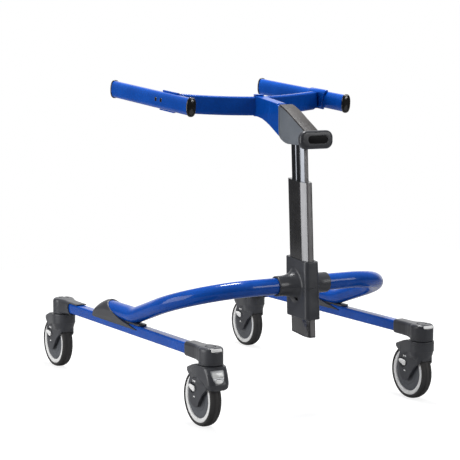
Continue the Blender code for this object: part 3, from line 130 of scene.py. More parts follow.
def useModifier(piece, kind, **settings):
    pickUp(piece)
    modifier = piece.modifiers.new(kind.lower(), kind)
    for key, value in settings.items():
        setattr(modifier, key, value)
    bpy.ops.object.modifier_apply(modifier=modifier.name)
    return piece


def joinWith(piece, tool, operation="UNION"):
    useModifier(piece, "BOOLEAN", operation=operation, solver="EXACT", object=tool)
    bpy.data.objects.remove(tool)
    return piece


def cutAway(piece, tool):
    return joinWith(piece, tool, "DIFFERENCE")


def keepWithin(piece, tool):
    return joinWith(piece, tool, "INTERSECT")


def cutFlat(piece, point, normal):
    # what lies on the normal's side of the plane goes
    editAll(piece)
    bpy.ops.mesh.bisect(plane_co=point, plane_no=normal, use_fill=True, clear_outer=True, threshold=0.000001)
    leaveEdit()
    return piece


def softMould(piece, grain, passes):
    # moulded look: even small faces, then edges relaxed to a fillet
    useModifier(piece, "REMESH", mode="VOXEL", voxel_size=grain)
    return useModifier(piece, "SMOOTH", factor=0.5, iterations=passes)


def roundEdges(piece, width, segments=3, angle=35):
    return useModifier(piece, "BEVEL", width=width, segments=segments, limit_method="ANGLE",
                       angle_limit=math.radians(angle), harden_normals=False)


def shadeBy(piece, angle):
    pickUp(piece)
    bpy.ops.object.shade_smooth_by_angle(angle=math.radians(angle))
    restAll()
    return piece


def settle(piece, place):
    pickUp(piece)
    piece.matrix_world = place
    bpy.ops.object.transform_apply(location=True, rotation=True, scale=True)
    restAll()
    return piece


def copyTo(piece, name, offset=(0.0, 0.0, 0.0), turn=Matrix.Identity(4)):
    double = piece.copy()
    double.data = piece.data.copy()
    double.name = name
    double.data.name = name
    bpy.context.scene.collection.objects.link(double)
    double.data.transform(Matrix.Translation(offset) @ turn)
    return double


def finishPiece(piece, body, finish, *stood, slotName=None):
    piece.data.materials.clear()
    piece.data.materials.append(finishes[finish])
    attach(piece, body)
    if stood:
        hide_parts(*stood)
    return piece


def clearAway(*patterns):
    for pattern in patterns:
        bpy.data.objects.remove(pattern)


def roundedBox(halfU, halfV, corner, steps=6, centre=(0.0, 0.0)):
    points = []
    for quarter, (su, sv) in enumerate(((1, 1), (-1, 1), (-1, -1), (1, -1))):
        for step in range(steps + 1):
            angle = (quarter + step / steps) * math.pi / 2
            points.append((centre[0] + su * (halfU - corner) + corner * math.cos(angle),
                           centre[1] + sv * (halfV - corner) + corner * math.sin(angle)))
    return points


def arcOf(centre, radius, start, end, steps):
    angles = [math.radians(start + (end - start) * step / steps) for step in range(steps + 1)]
    return [(centre[0] + radius * math.cos(a), centre[1] + radius * math.sin(a)) for a in angles]


def discOf(name, radius, axis, low, high, centre=(0.0, 0.0), steps=48):
    return slabOf(name, arcOf(centre, radius, 0, 360 - 360 / steps, steps - 1), axis, low, high)


def carve(piece, outline, axis, low, high):
    return cutAway(piece, slabOf("tool", outline, axis, low, high))


def drill(piece, radius, axis, low, high, centre=(0.0, 0.0), steps=48):
    return cutAway(piece, discOf("tool", radius, axis, low, high, centre, steps))


def axesTo(across, up, out, spot):
    place = Matrix((across, up, out)).transposed().to_4x4()
    place.translation = spot
    return place


def mirrored(half):
    return half + [(-u, v) for u, v in reversed(half) if abs(u) > 0.00001]


def brick(name, low, high):
    restAll()
    middle = [(a + b) / 2 for a, b in zip(low, high)]
    bpy.ops.mesh.primitive_cube_add(size=1.0, location=middle)
    piece = bpy.context.object
    piece.name = name
    piece.scale = [b - a for a, b in zip(low, high)]
    bpy.ops.object.transform_apply(location=True, rotation=True, scale=True)
    restAll()
    return piece


def scoreFront(piece, outer, inner, low, high, behind):
    # fine seam round the front of a drum
    ring = discOf("ring", outer, "z", low, high, steps=64)
    drill(ring, inner, "z", low - 0.01, high + 0.01, steps=64)
    cutAway(ring, brick("behind", (-0.05, behind, 0.0), (0.05, 0.06, 0.2)))
    return cutAway(piece, ring)


def tubeOf(name, points, radius, smoothness):
    restAll()
    bpy.ops.curve.primitive_bezier_curve_add(radius=0.1)
    piece = bpy.context.object
    piece.name = name
    route = piece.data
    route.splines.clear()
    spline = route.splines.new("POLY")
    spline.points.add(len(points) - 1)
    for spot, point in zip(spline.points, points):
        spot.co = (*point, 1.0)
    route.dimensions = "3D"
    route.bevel_depth = radius
    route.bevel_resolution = smoothness
    route.use_fill_caps = True
    bpy.ops.object.convert(target="MESH")
    piece = bpy.context.object
    piece.data.name = name
    editAll(piece)
    leaveEdit(weld=True)
    return piece


# Finishes

def newNode(tree, kind, values=None, **settings):
    node = tree.nodes.new("ShaderNode" + kind)
    for key, value in settings.items():
        setattr(node, key, value)
    for socket, value in (values or {}).items():
        node.inputs[socket].default_value = value
    return node


def newGroup(name, inputs, *outputs):
    group = bpy.data.node_groups.new(name, "ShaderNodeTree")
    for label, value in inputs.items():
        kind = "NodeSocketVector" if isinstance(value, tuple) else "NodeSocketFloat"
        socket = group.interface.new_socket(label, in_out="INPUT", socket_type=kind)
        socket.default_value = value
    for label in outputs:
        group.interface.new_socket(label, in_out="OUTPUT", socket_type="NodeSocketFloat")
    return group, group.nodes.new("NodeGroupInput"), group.nodes.new("NodeGroupOutput")


def grainGroup():
    # fine moulded or cast grain: pits over a soft noise, stretched as the surface was worked
    group, given, out = newGroup("surfaceGrain", {"Scale": 900.0, "Stretch": (1.0, 1.0, 1.0)}, "Height",
                                 "Shade")
    link = group.links.new
    stretch = newNode(group, "VectorMath", operation="MULTIPLY")
    link(newNode(group, "TexCoord").outputs["Object"], stretch.inputs[0])
    link(given.outputs["Stretch"], stretch.inputs[1])
    pits = newNode(group, "TexVoronoi", feature="SMOOTH_F1")
    soft = newNode(group, "TexNoise", {"Detail": 4.0})
    for texture in (pits, soft):
        link(stretch.outputs[0], texture.inputs["Vector"])
        link(given.outputs["Scale"], texture.inputs["Scale"])
    blend = newNode(group, "Mix", {"Factor": 0.45})
    link(soft.outputs["Fac"], blend.inputs["A"])
    link(pits.outputs["Distance"], blend.inputs["B"])
    link(blend.outputs["Result"], out.inputs["Height"])
    link(soft.outputs["Fac"], out.inputs["Shade"])
    return group


def patchGroup():
    # broad soft patches: handling, dust and uneven gloss
    group, given, out = newGroup("softPatches", {"Scale": 14.0, "From": 0.40, "To": 0.68}, "Mask")
    link = group.links.new
    cloud = newNode(group, "TexNoise", {"Detail": 6.0, "Roughness": 0.62, "Distortion": 0.4})
    spread = newNode(group, "MapRange")
    link(newNode(group, "TexCoord").outputs["Object"], cloud.inputs["Vector"])
    link(given.outputs["Scale"], cloud.inputs["Scale"])
    link(cloud.outputs["Fac"], spread.inputs["Value"])
    link(given.outputs["From"], spread.inputs["From Min"])
    link(given.outputs["To"], spread.inputs["From Max"])
    link(spread.outputs["Result"], out.inputs["Mask"])
    return group


def scratchGroup():
    # sparse hairline scratches: the crests of a noise stretched along a slanting line
    group, given, out = newGroup("hairlines", {"Scale": 60.0, "Amount": 0.5}, "Mask")
    link = group.links.new
    turn = newNode(group, "Mapping", {"Rotation": (0.5, 0.9, 0.3), "Scale": (1.0, 14.0, 1.0)})
    lines = newNode(group, "TexNoise", {"Detail": 2.0})
    crests = newNode(group, "MapRange", {"From Min": 0.70, "From Max": 0.76})
    strength = newNode(group, "Math", operation="MULTIPLY")
    link(newNode(group, "TexCoord").outputs["Object"], turn.inputs["Vector"])
    link(turn.outputs["Vector"], lines.inputs["Vector"])
    link(given.outputs["Scale"], lines.inputs["Scale"])
    link(lines.outputs["Fac"], crests.inputs["Value"])
    link(crests.outputs["Result"], strength.inputs[0])
    link(given.outputs["Amount"], strength.inputs[1])
    link(strength.outputs[0], out.inputs["Mask"])
    return group


groups = {"grain": grainGroup(), "patches": patchGroup(), "scratches": scratchGroup()}

plainFinish = {"grain": 900.0, "stretch": (1.0, 1.0, 1.0), "bump": 0.30, "depth": 0.0003, "scratch": 0.25,
               "coat": (0.0, 0.03), "metal": 0.0, "level": 0.5}
finishSettings = {
    "bluePaint": {"slot": "blue_paint", "colour": (0.002, 0.068, 0.390), "second": (0.004, 0.088, 0.480),
                  "worn": (0.05, 0.13, 0.50), "patch": 9.0, "grain": 230.0, "bump": 0.05, "depth": 0.0005,
                  "rough": (0.22, 0.30), "scratch": 0.20, "coat": (0.4, 0.03), "level": 0.10},
    "blackPlastic": {"slot": "black_plastic", "colour": (0.037, 0.039, 0.046),
                     "second": (0.051, 0.054, 0.063),
                     "worn": (0.07, 0.07, 0.075), "patch": 18.0, "grain": 850.0, "rough": (0.28, 0.40),
                     "scratch": 0.30},
    "greyPlastic": {"slot": "grey_plastic", "colour": (0.150, 0.168, 0.192), "second": (0.182, 0.200, 0.226),
                    "worn": (0.25, 0.26, 0.28), "patch": 16.0, "rough": (0.42, 0.55)},
    "brownPlastic": {"slot": "brown_grey_plastic", "colour": (0.034, 0.030, 0.029),
                     "second": (0.056, 0.050, 0.048), "worn": (0.15, 0.14, 0.13), "patch": 16.0,
                     "stretch": (2.4, 0.08, 0.08), "bump": 0.45, "depth": 0.0004, "rough": (0.42, 0.58),
                     "level": 0.45},
    "discPlastic": {"slot": "black_plastic", "colour": (0.086, 0.092, 0.104), "second": (0.112, 0.119, 0.133),
                    "worn": (0.14, 0.145, 0.15), "patch": 30.0, "grain": 700.0, "bump": 0.45,
                    "rough": (0.45, 0.62), "scratch": 0.3},
    "tyreRubber": {"slot": "tyre_rubber", "colour": (0.034, 0.033, 0.034), "second": (0.052, 0.050, 0.049),
                   "worn": (0.10, 0.095, 0.09), "patch": 22.0, "grain": 520.0, "bump": 0.40, "depth": 0.0004,
                   "rough": (0.50, 0.72), "scratch": 0.5, "level": 0.4},
    "whitePlastic": {"slot": "white_plastic", "colour": (0.89, 0.89, 0.885), "second": (0.94, 0.94, 0.935),
                     "worn": (0.66, 0.65, 0.62), "patch": 25.0, "grain": 600.0, "bump": 0.10, "depth": 0.0002,
                     "rough": (0.24, 0.36), "scratch": 0.3},
    "silverPlastic": {"slot": "grey_plastic", "colour": (0.29, 0.30, 0.31), "second": (0.38, 0.39, 0.40),
                      "worn": (0.60, 0.60, 0.60), "patch": 40.0, "grain": 1200.0, "bump": 0.15,
                      "depth": 0.0002, "rough": (0.28, 0.40), "scratch": 0.2, "level": 0.6, "metal": 0.35},
    "glossBlack": {"slot": "black_plastic", "colour": (0.006, 0.006, 0.007), "second": (0.010, 0.010, 0.011),
                   "worn": (0.05, 0.05, 0.05), "patch": 30.0, "grain": 400.0, "bump": 0.04, "depth": 0.0002,
                   "rough": (0.10, 0.20), "scratch": 0.35, "coat": (0.6, 0.06)},
    "darkAnodised": {"slot": "black_anodised", "colour": (0.094, 0.094, 0.098),
                     "second": (0.120, 0.120, 0.125),
                     "worn": (0.10, 0.10, 0.10), "patch": 12.0, "grain": 420.0, "stretch": (1.0, 1.0, 0.02),
                     "bump": 0.10, "rough": (0.14, 0.21), "scratch": 0.2, "coat": (0.5, 0.08), "metal": 0.85},
    "greyAnodised": {"slot": "black_anodised", "colour": (0.190, 0.185, 0.187),
                     "second": (0.235, 0.230, 0.232),
                     "worn": (0.26, 0.26, 0.26), "patch": 14.0, "grain": 520.0, "stretch": (1.0, 1.0, 0.02),
                     "bump": 0.12, "rough": (0.34, 0.46), "metal": 0.4},
    "brightAluminium": {"slot": "aluminium", "colour": (0.128, 0.134, 0.148), "second": (0.168, 0.176, 0.192),
                        "worn": (0.62, 0.62, 0.62), "patch": 14.0, "grain": 600.0,
                        "stretch": (1.0, 1.0, 0.02), "bump": 0.15, "rough": (0.16, 0.25), "metal": 1.0},
    "steel": {"slot": "steel", "colour": (0.46, 0.46, 0.47), "second": (0.56, 0.56, 0.57),
              "worn": (0.68, 0.68, 0.68), "patch": 30.0, "stretch": (0.05, 1.0, 1.0), "bump": 0.15,
              "depth": 0.0002, "rough": (0.22, 0.36), "scratch": 0.4, "metal": 1.0},
    "deepBlack": {"slot": "black_plastic", "colour": (0.003, 0.003, 0.004), "second": (0.006, 0.006, 0.007),
                  "worn": (0.03, 0.03, 0.03), "patch": 40.0, "grain": 600.0, "bump": 0.10, "depth": 0.0002,
                  "rough": (0.45, 0.60), "scratch": 0.2, "level": 0.15},
    "screenGlass": {"slot": "white_plastic", "colour": (0.82, 0.84, 0.83), "second": (0.90, 0.91, 0.90),
                    "worn": (0.60, 0.61, 0.60), "patch": 60.0, "grain": 300.0, "bump": 0.03,
                    "depth": 0.0002, "rough": (0.12, 0.20), "scratch": 0.2, "coat": (0.6, 0.05)},
}


def makeFinish(name):
    settings = {**plainFinish, **finishSettings[name]}
    material = bpy.data.materials.new(name)
    material.use_nodes = True
    tree = material.node_tree
    shader = tree.nodes["Principled BSDF"]
    coat, coatRough = settings["coat"]
    for socket, value in (("Metallic", settings["metal"]), ("Specular IOR Level", settings["level"]),
                          ("Coat Weight", coat), ("Coat Roughness", coatRough)):
        shader.inputs[socket].default_value = value
    patches = newNode(tree, "Group", {"Scale": settings["patch"]}, node_tree=groups["patches"])
    grain = newNode(tree, "Group", {"Scale": settings["grain"], "Stretch": settings["stretch"]},
                    node_tree=groups["grain"])
    scratches = newNode(tree, "Group", {"Amount": settings["scratch"]}, node_tree=groups["scratches"])
    colours = [(*settings[key], 1.0) for key in ("colour", "second", "worn")]
    tint = newNode(tree, "Mix", {6: colours[0], 7: colours[1]}, data_type="RGBA")
    speckle = newNode(tree, "Mix", {"Factor": 0.25}, data_type="RGBA", blend_type="OVERLAY")
    wear = newNode(tree, "Mix", {7: colours[2]}, data_type="RGBA")
    gloss = newNode(tree, "MapRange", {"To Min": settings["rough"][0], "To Max": settings["rough"][1]})
    bump = newNode(tree, "Bump", {"Strength": settings["bump"], "Distance": settings["depth"]})
    for source, target in ((patches.outputs["Mask"], tint.inputs["Factor"]),
                           (tint.outputs[2], speckle.inputs[6]),
                           (grain.outputs["Shade"], speckle.inputs[7]),
                           (speckle.outputs[2], wear.inputs[6]),
                           (scratches.outputs["Mask"], wear.inputs["Factor"]),
                           (wear.outputs[2], shader.inputs["Base Color"]),
                           (patches.outputs["Mask"], gloss.inputs["Value"]),
                           (gloss.outputs["Result"], shader.inputs["Roughness"]),
                           (grain.outputs["Height"], bump.inputs["Height"]),
                           (bump.outputs["Normal"], shader.inputs["Normal"])):
        tree.links.new(source, target)
    return material


finishes = {name: makeFinish(name) for name in finishSettings}
nodeFinish = {"steel": ("steel", "axle", "gas_spring_rod", "valve_pin"),
              "darkAnodised": ("gas_spring_cylinder",)}
for finish, endings in nodeFinish.items():
    for label, node in nodes.items():
        if label.endswith(endings):
            node.data.materials.clear()
            node.data.materials.append(finishes[finish])
print("finishes are made")


# Wheels

wheel = {"radius": 0.0635, "half": 0.014, "crown": 0.0065, "bead": 0.0553, "rimOuter": 0.055,
         "rimInner": 0.045, "rimHalf": 0.0125, "bore": 0.0064, "hub": 0.016, "hubHalf": 0.0138,
         "coreOuter": 0.0447}


def tyreProfile():
    half, radius, crown = wheel["half"], wheel["radius"], wheel["crown"]
    side = [(wheel["bead"], half - 0.0012), (wheel["bead"] + 0.0007, half - 0.0002)]
    for step in range(13):
        angle = math.pi / 2 * step / 12
        place = half * math.cos(angle) ** 0.92
        side.append((radius - crown + crown * math.sin(angle) ** 0.92, place))
    side = [spot for spot in side[:-1] if not 0.0036 < spot[1] < 0.006]
    groove = ((0.00022, 0.0052), (0.00085, 0.0049), (0.00085, 0.0043), (0.00012, 0.004), (0.0, 0.002))
    side += [(radius - depth, place) for depth, place in groove]
    side.sort(key=lambda spot: -spot[1] if spot[0] > wheel["bead"] + 0.001 else -1.0)
    return side + [(r, -a) for r, a in reversed(side)]


def rimProfile():
    inner, outer, half = wheel["rimInner"], wheel["rimOuter"], wheel["rimHalf"]
    side = [(inner, half - 0.003), (inner + 0.0003, half - 0.0014), (inner + 0.0011, half - 0.0005),
            (inner + 0.0024, half - 0.0001), (outer - 0.0028, half), (outer - 0.0012, half - 0.0002),
            (outer - 0.0003, half - 0.0008), (outer, half - 0.0018)]
    return side + [(r, -a) for r, a in reversed(side)]


def coreProfile():
    outer = wheel["coreOuter"]
    side = [(wheel["bore"], 0.013), (wheel["bore"] + 0.0008, wheel["hubHalf"]),
            (wheel["hub"] - 0.001, wheel["hubHalf"]), (wheel["hub"], 0.0131), (wheel["hub"] + 0.002, 0.0118),
            (0.0235, 0.0112), (0.029, 0.011), (0.0295, 0.0104), (0.0306, 0.0104), (0.0311, 0.0109),
            (0.038, 0.0107), (0.0418, 0.0108), (0.0432, 0.0103), (outer, 0.0092)]
    return side + [(r, -a) for r, a in reversed(side)]


def buildWheels():
    middle = (0.0, trail, axleHeight)
    tyre = shadeBy(latheOf("tyrePattern", tyreProfile(), middle, 120), 40)
    rim = shadeBy(latheOf("rimPattern", rimProfile(), middle, 96), 45)
    core = shadeBy(latheOf("corePattern", coreProfile(), middle, 96), 40)
    patterns = ((tyre, "Tyre", "_tyre", "tyreRubber"), (rim, "Rim", "_rim", "whitePlastic"),
                (core, "WheelDisc", "_wheel_core", "discPlastic"))
    for corner, (x, y) in swivels.items():
        for pattern, label, ending, finish in patterns:
            piece = copyTo(pattern, corner + label, (x, y, 0.0))
            finishPiece(piece, corner + "_wheel", finish, corner + ending)
    clearAway(tyre, rim, core)
    print("wheels are in their forks")


# Forks and selectors

fork = {"top": 0.1417, "neck": 0.029, "beak": 0.084, "beakHalf": 0.0165, "cheek": 0.021, "well": 0.0655,
        "wellHalf": 0.0155, "boss": 0.02, "knob": (0.036, 0.0855), "foot": 0.024, "grain": 0.0008}


def forkSide():
    top, neck, beak = fork["top"], fork["neck"], fork["beak"]
    line = ((-neck - 0.001, 0.0), (0.022, 0.0), (0.03, 0.0008), (0.038, 0.0027), (0.046, 0.0054),
            (0.058, 0.0094), (0.07, 0.0135), (0.079, 0.017), (beak - 0.001, 0.0192), (beak, 0.0208),
            (beak - 0.001, 0.0225), (0.07, 0.0285), (0.058, 0.0328), (0.05, 0.0348), (0.042, 0.0338),
            (0.03, 0.03), (0.014, 0.0268), (0.0, 0.0255), (-neck - 0.001, 0.0232))
    return [(y, top - drop) for y, drop in line]


def forkPlan():
    neck, beak, half = fork["neck"], fork["beak"], fork["beakHalf"]
    side = [(neck - 0.0004, 0.006), (neck - 0.0015, 0.014), (neck - 0.0035, 0.026), (neck - 0.006, 0.04),
            (half + 0.0035, 0.058), (half + 0.0008, beak - 0.014), (half - 0.001, beak - 0.006),
            (half - 0.0045, beak)]
    return mirrored(arcOf((0.0, 0.0), neck, -90, 0, 14) + side)


def cheekSide():
    front = [(-0.022, 0.033), (-0.0175, 0.0288), (-0.013, 0.025), (-0.0065, 0.0202), (0.0, 0.015),
             (0.005, 0.0098), (0.009, 0.004)]
    rear = [(0.0605, 0.0175), (0.062, 0.0225), (0.0612, 0.029), (0.06, 0.0345), (0.057, 0.0405),
            (0.055, 0.0465), (0.055, 0.06)]
    points = [(y, axleHeight + z) for y, z in front] + arcOf((trail, axleHeight), fork["boss"], 197, 352, 16)
    return points + [(y, axleHeight + z) for y, z in rear] + [(-0.022, axleHeight + 0.06)]


def forkBody():
    piece = slabOf("forkPattern", forkPlan(), "z", 0.02, fork["top"])
    keepWithin(piece, slabOf("side", forkSide(), "x", -0.05, 0.05))
    levels = []
    cheek, neck, foot = fork["cheek"], fork["neck"], fork["foot"]
    fade = ((0.95, 0.005), (0.7, 0.011), (0.32, 0.018), (0.02, 0.025), (-0.15, 0.031))
    for drop, radius in ((0.02, neck - 0.001), (0.0262, neck - 0.0014), (0.033, foot + 0.0018),
                         (0.0415, foot - 0.0014)):
        side = [(cheek + (radius - cheek) * share, v) for share, v in fade]
        plan = mirrored(arcOf((0.0, 0.0), radius, -90, 0, 20) + side)
        levels.append([(u, v, fork["top"] - drop) for u, v in plan])
    joinWith(piece, loftOf("skirt", levels))
    cheeks = slabOf("cheeks", cheekSide(), "x", -cheek, cheek)
    front = arcOf((0.0, 0.0), foot + 0.0008, -90, 0, 14) + [(foot + 0.0008, 0.08)]
    keepWithin(cheeks, slabOf("plan", mirrored(front), "z", 0.0, 0.2))
    joinWith(piece, cheeks)
    softMould(piece, fork["grain"], 4)
    cutFlat(piece, (0.0, 0.0, fork["top"] - 0.0003), (0.0, 0.0, 1.0))
    drill(piece, fork["well"], "x", -fork["wellHalf"], fork["wellHalf"], (trail, axleHeight), 72)
    ky, kz = fork["knob"]
    pocket = arcOf((ky + 0.0062, kz + 0.0005), 0.0128, 0, 345, 23)
    carve(piece, pocket, "x", -0.03, -fork["cheek"] + 0.0022)
    scoreFront(piece, neck + 0.004, neck - 0.0007, fork["top"] - 0.006, fork["top"] - 0.0052, 0.004)
    return shadeBy(piece, 38)


def knobShape():
    # teardrop with a raised thumb rib, its tail towards the wheel's rear edge
    ky, kz = fork["knob"]
    turn, tail, eye = math.radians(13.3), 0.0198, 0.0066
    along, up = math.cos(turn), math.sin(turn)
    outline = [(ky + u, kz + v) for u, v in arcOf((0.0, 0.0), eye, 85, 290, 24)]
    for reach, flank in ((0.012, -0.0052), (tail - 0.0012, -0.003), (tail, 0.0), (tail - 0.0012, 0.003),
                         (0.012, 0.0052)):
        outline.append((ky + reach * along - flank * up, kz + reach * up + flank * along))
    face = -fork["cheek"]
    piece = slabOf("knobPattern", outline, "x", face - 0.0036, face - 0.0003)
    roundEdges(piece, 0.0012, 4)
    rib = roundedBox(0.0052, 0.001, 0.0009, 4, (ky + 0.006, kz + 0.0016))
    joinWith(piece, slabOf("rib", rib, "x", face - 0.0042, face - 0.003))
    joinWith(piece, discOf("pin", 0.0029, "x", face - 0.002, face + 0.003, (ky, kz), 24))
    return shadeBy(piece, 40)


def markShapes():
    # plain raised marks beside the selector: a bow tie above it and an arrow head below
    ky, kz = fork["knob"]
    face = -fork["cheek"]
    tie = [(-0.0052, 0.0022), (-0.003, 0.0022), (-0.0008, 0.0008), (0.0016, 0.0008), (0.0036, 0.0024),
           (0.0056, 0.0024), (0.0056, -0.0018), (0.0036, -0.0018), (0.0016, -0.0006), (-0.0008, -0.0006),
           (-0.003, -0.002), (-0.0052, -0.002)]
    arrow = [(-0.004, -0.0014), (0.0034, -0.0006), (0.0034, 0.0012), (-0.0018, 0.002)]
    high = slabOf("markPattern", [(ky + u, kz + 0.0156 + v) for u, v in tie], "x", face - 0.00035,
                  face + 0.0004)
    low = slabOf("low", [(ky + u, kz - 0.0186 + v) for u, v in arrow], "x", face - 0.00035, face + 0.0004)
    return shadeBy(joinWith(high, low), 30)


def buildForks():
    body, knob, marks = forkBody(), knobShape(), markShapes()
    for corner, (x, y) in swivels.items():
        spot = (x, y, 0.0)
        caster = corner + "_caster"
        finishPiece(copyTo(body, corner + "Fork", spot), caster, "blackPlastic", corner + "_fork")
        finishPiece(copyTo(marks, corner + "Marks", spot), caster, "whitePlastic")
        finishPiece(copyTo(knob, corner + "Selector", spot), corner + "_selector", "whitePlastic",
                    corner + "_selector")
    clearAway(body, knob, marks)
    print("forks and selectors are made")


# End fittings and rails

elbow = {"radius": 0.027, "bottom": 0.1423, "top": 0.1813, "half": 0.016, "middle": 0.1628, "corner": 0.006,
         "frontReach": 0.09, "rearReach": 0.104, "inset": 0.0342, "railHalf": 0.0125, "railCorner": 0.004}
facetDown = Vector((0.0, -0.4, -0.92)).normalized()
facetOut = Vector((0.0, -0.92, 0.4)).normalized()
facetSpot = Vector((0.0, -0.0225, elbow["top"] - 0.0004))


def socketOutline():
    # the hole for the rail in its fittings and saddles
    half = elbow["railHalf"] + fit
    return roundedBox(half, half, elbow["railCorner"], 6, (0.0, elbow["middle"]))


def fittingBody(rear):
    # a drum over the stem that runs softly into the rail's socket
    reach = elbow["rearReach"] if rear else elbow["frontReach"]
    middle, half, low, top = elbow["middle"], elbow["half"], elbow["bottom"], elbow["top"]
    edge = ((low, 0.0), (top - 0.0075, 0.0), (top - 0.0045, 0.0006), (top - 0.0022, 0.002),
            (top - 0.0006, 0.0046), (top, 0.008))
    rings = []
    for z, inset in edge:
        rings.append([(u, v, z) for u, v in arcOf((0.0, 0.0), elbow["radius"] - inset, 0, 354, 59)])
    drum = loftOf("fittingPattern", rings)
    if not rear:
        cutFlat(drum, facetSpot, facetOut)
    neck = []
    for y, grow in ((0.002, 0.0062), (0.016, 0.0058), (0.024, 0.0042), (0.032, 0.0024), (0.042, 0.001),
                    (0.06, 0.0003), (reach, 0.0)):
        lift = grow * 0.42
        section = roundedBox(half + grow, half + 0.0004 + lift, elbow["corner"] + 0.0012, 6,
                             (0.0, middle + 0.0002))
        neck.append([(u, y, min(z, top - 0.0001)) for u, z in section])
    joinWith(drum, loftOf("neck", neck))
    if rear:
        lip = middle + elbow["railHalf"] + fit
        arch = ((reach + 0.01, 0.0), (0.066, 0.0), (0.06, 0.0015), (0.057, 0.0045), (0.0553, 0.01),
                (0.0562, 0.015), (0.0585, 0.0195), (0.0625, 0.0245), (0.068, 0.029), (0.075, 0.045),
                (reach + 0.01, 0.045))
        carve(drum, [(y, lip - drop) for y, drop in arch], "x", -0.05, 0.05)
    softMould(drum, 0.0009, 10)
    cutFlat(drum, (0.0, 0.0, low), (0.0, 0.0, -1.0))
    carve(drum, socketOutline(), "y", elbow["inset"], reach + 0.02)
    scoreFront(drum, elbow["radius"] + 0.004, elbow["radius"] - 0.0006, low + 0.005, low + 0.0057, 0.013)
    drill(drum, 0.012, "z", top - 0.0012, top + 0.01, (0.0, 0.001), 48)
    plug = discOf("plug", 0.0096, "z", top - 0.0024, top + 0.0002, (0.0, 0.001))
    joinWith(drum, roundEdges(plug, 0.0008))
    return shadeBy(drum, 38)


def fittingPlate():
    # white plate let into the sloping facet at the head's outer end
    outline = roundedBox(0.0132, 0.0036, 0.0022, 6, (0.0, -0.0001))
    piece = slabOf("platePattern", outline, "z", -0.0003, 0.0007)
    roundEdges(piece, 0.0003, 2)
    across = facetOut.cross(facetDown).normalized()
    settle(piece, axesTo(across, facetDown, facetOut, facetSpot + facetDown * 0.0052))
    editAll(piece)
    leaveEdit()
    return shadeBy(piece, 40)


def buildFittings():
    plate = fittingPlate()
    # a small white raised spot set on top of each rear fitting
    button = roundedBox(0.0062, 0.0042, 0.004, 8, (-0.009, -0.012))
    dot = slabOf("dotPattern", button, "z", elbow["top"] - 0.003, elbow["top"] + 0.0012)
    shadeBy(roundEdges(dot, 0.0005, 2), 35)
    for end, rear in (("front", False), ("rear", True)):
        body = fittingBody(rear)
        turn = Matrix.Rotation(math.pi, 4, "Z") if rear else Matrix.Identity(4)
        for side in sides:
            x, y = swivels[end + "_" + side]
            name = end + side.capitalize()
            piece = copyTo(body, name + "Fitting", (x, y, 0.0), turn)
            finishPiece(piece, "base_frame", "blackPlastic", end + "_" + side + "_elbow")
            white = copyTo(dot if rear else plate, name + "Plate", (x, y, 0.0), turn)
            finishPiece(white, "base_frame", "whitePlastic")
        clearAway(body)
    clearAway(plate, dot)
    outline = roundedBox(elbow["railHalf"], elbow["railHalf"], elbow["railCorner"], 8, (0.0, elbow["middle"]))
    rail = slabOf("railPattern", outline, "y", -0.364, 0.3105)
    carve(rail, roundedBox(0.0105, 0.0105, 0.002, 3, (0.0, elbow["middle"])), "y", -0.4, 0.4)
    shadeBy(rail, 30)
    for side, sign in sides.items():
        piece = copyTo(rail, side + "Rail", (sign * bow["halfTrack"], 0.0, 0.0))
        finishPiece(piece, "base_frame", "bluePaint", side + "_rail")
    clearAway(rail)
    print("rails and end fittings are made")


# Bowed tube and saddles

def bowHeight(y):
    return bow["endHeight"] + bow["rise"] * (bow["bend"] - y)


def bowRoute():
    slope = math.atan(bow["rise"])
    centreY = bow["bend"] + bow["bendRadius"] * math.tan(slope / 2)
    centreZ = bow["endHeight"] + bow["bendRadius"]
    leg = [(bow["halfTrack"], bow["end"], bow["endHeight"])]
    for step in range(13):
        angle = slope * step / 12
        leg.append((bow["halfTrack"], centreY - bow["bendRadius"] * math.sin(angle),
                    centreZ - bow["bendRadius"] * math.cos(angle)))
    cornerX = bow["halfTrack"] - bow["cornerRadius"]
    cornerY = bow["front"] + bow["cornerRadius"]
    for step in range(33):
        angle = math.pi / 2 * step / 32
        y = cornerY - bow["cornerRadius"] * math.sin(angle)
        leg.append((cornerX + bow["cornerRadius"] * math.cos(angle), y, bowHeight(y)))
    return leg + [(-x, y, z) for x, y, z in reversed(leg)]


saddle = {"railTop": 0.1753, "wall": 0.0029, "skirt": 0.0095, "rear": 0.15975, "skirtFront": -0.079,
          "tip": -0.08775, "tongueHalf": 0.0119, "grain": 0.0007}


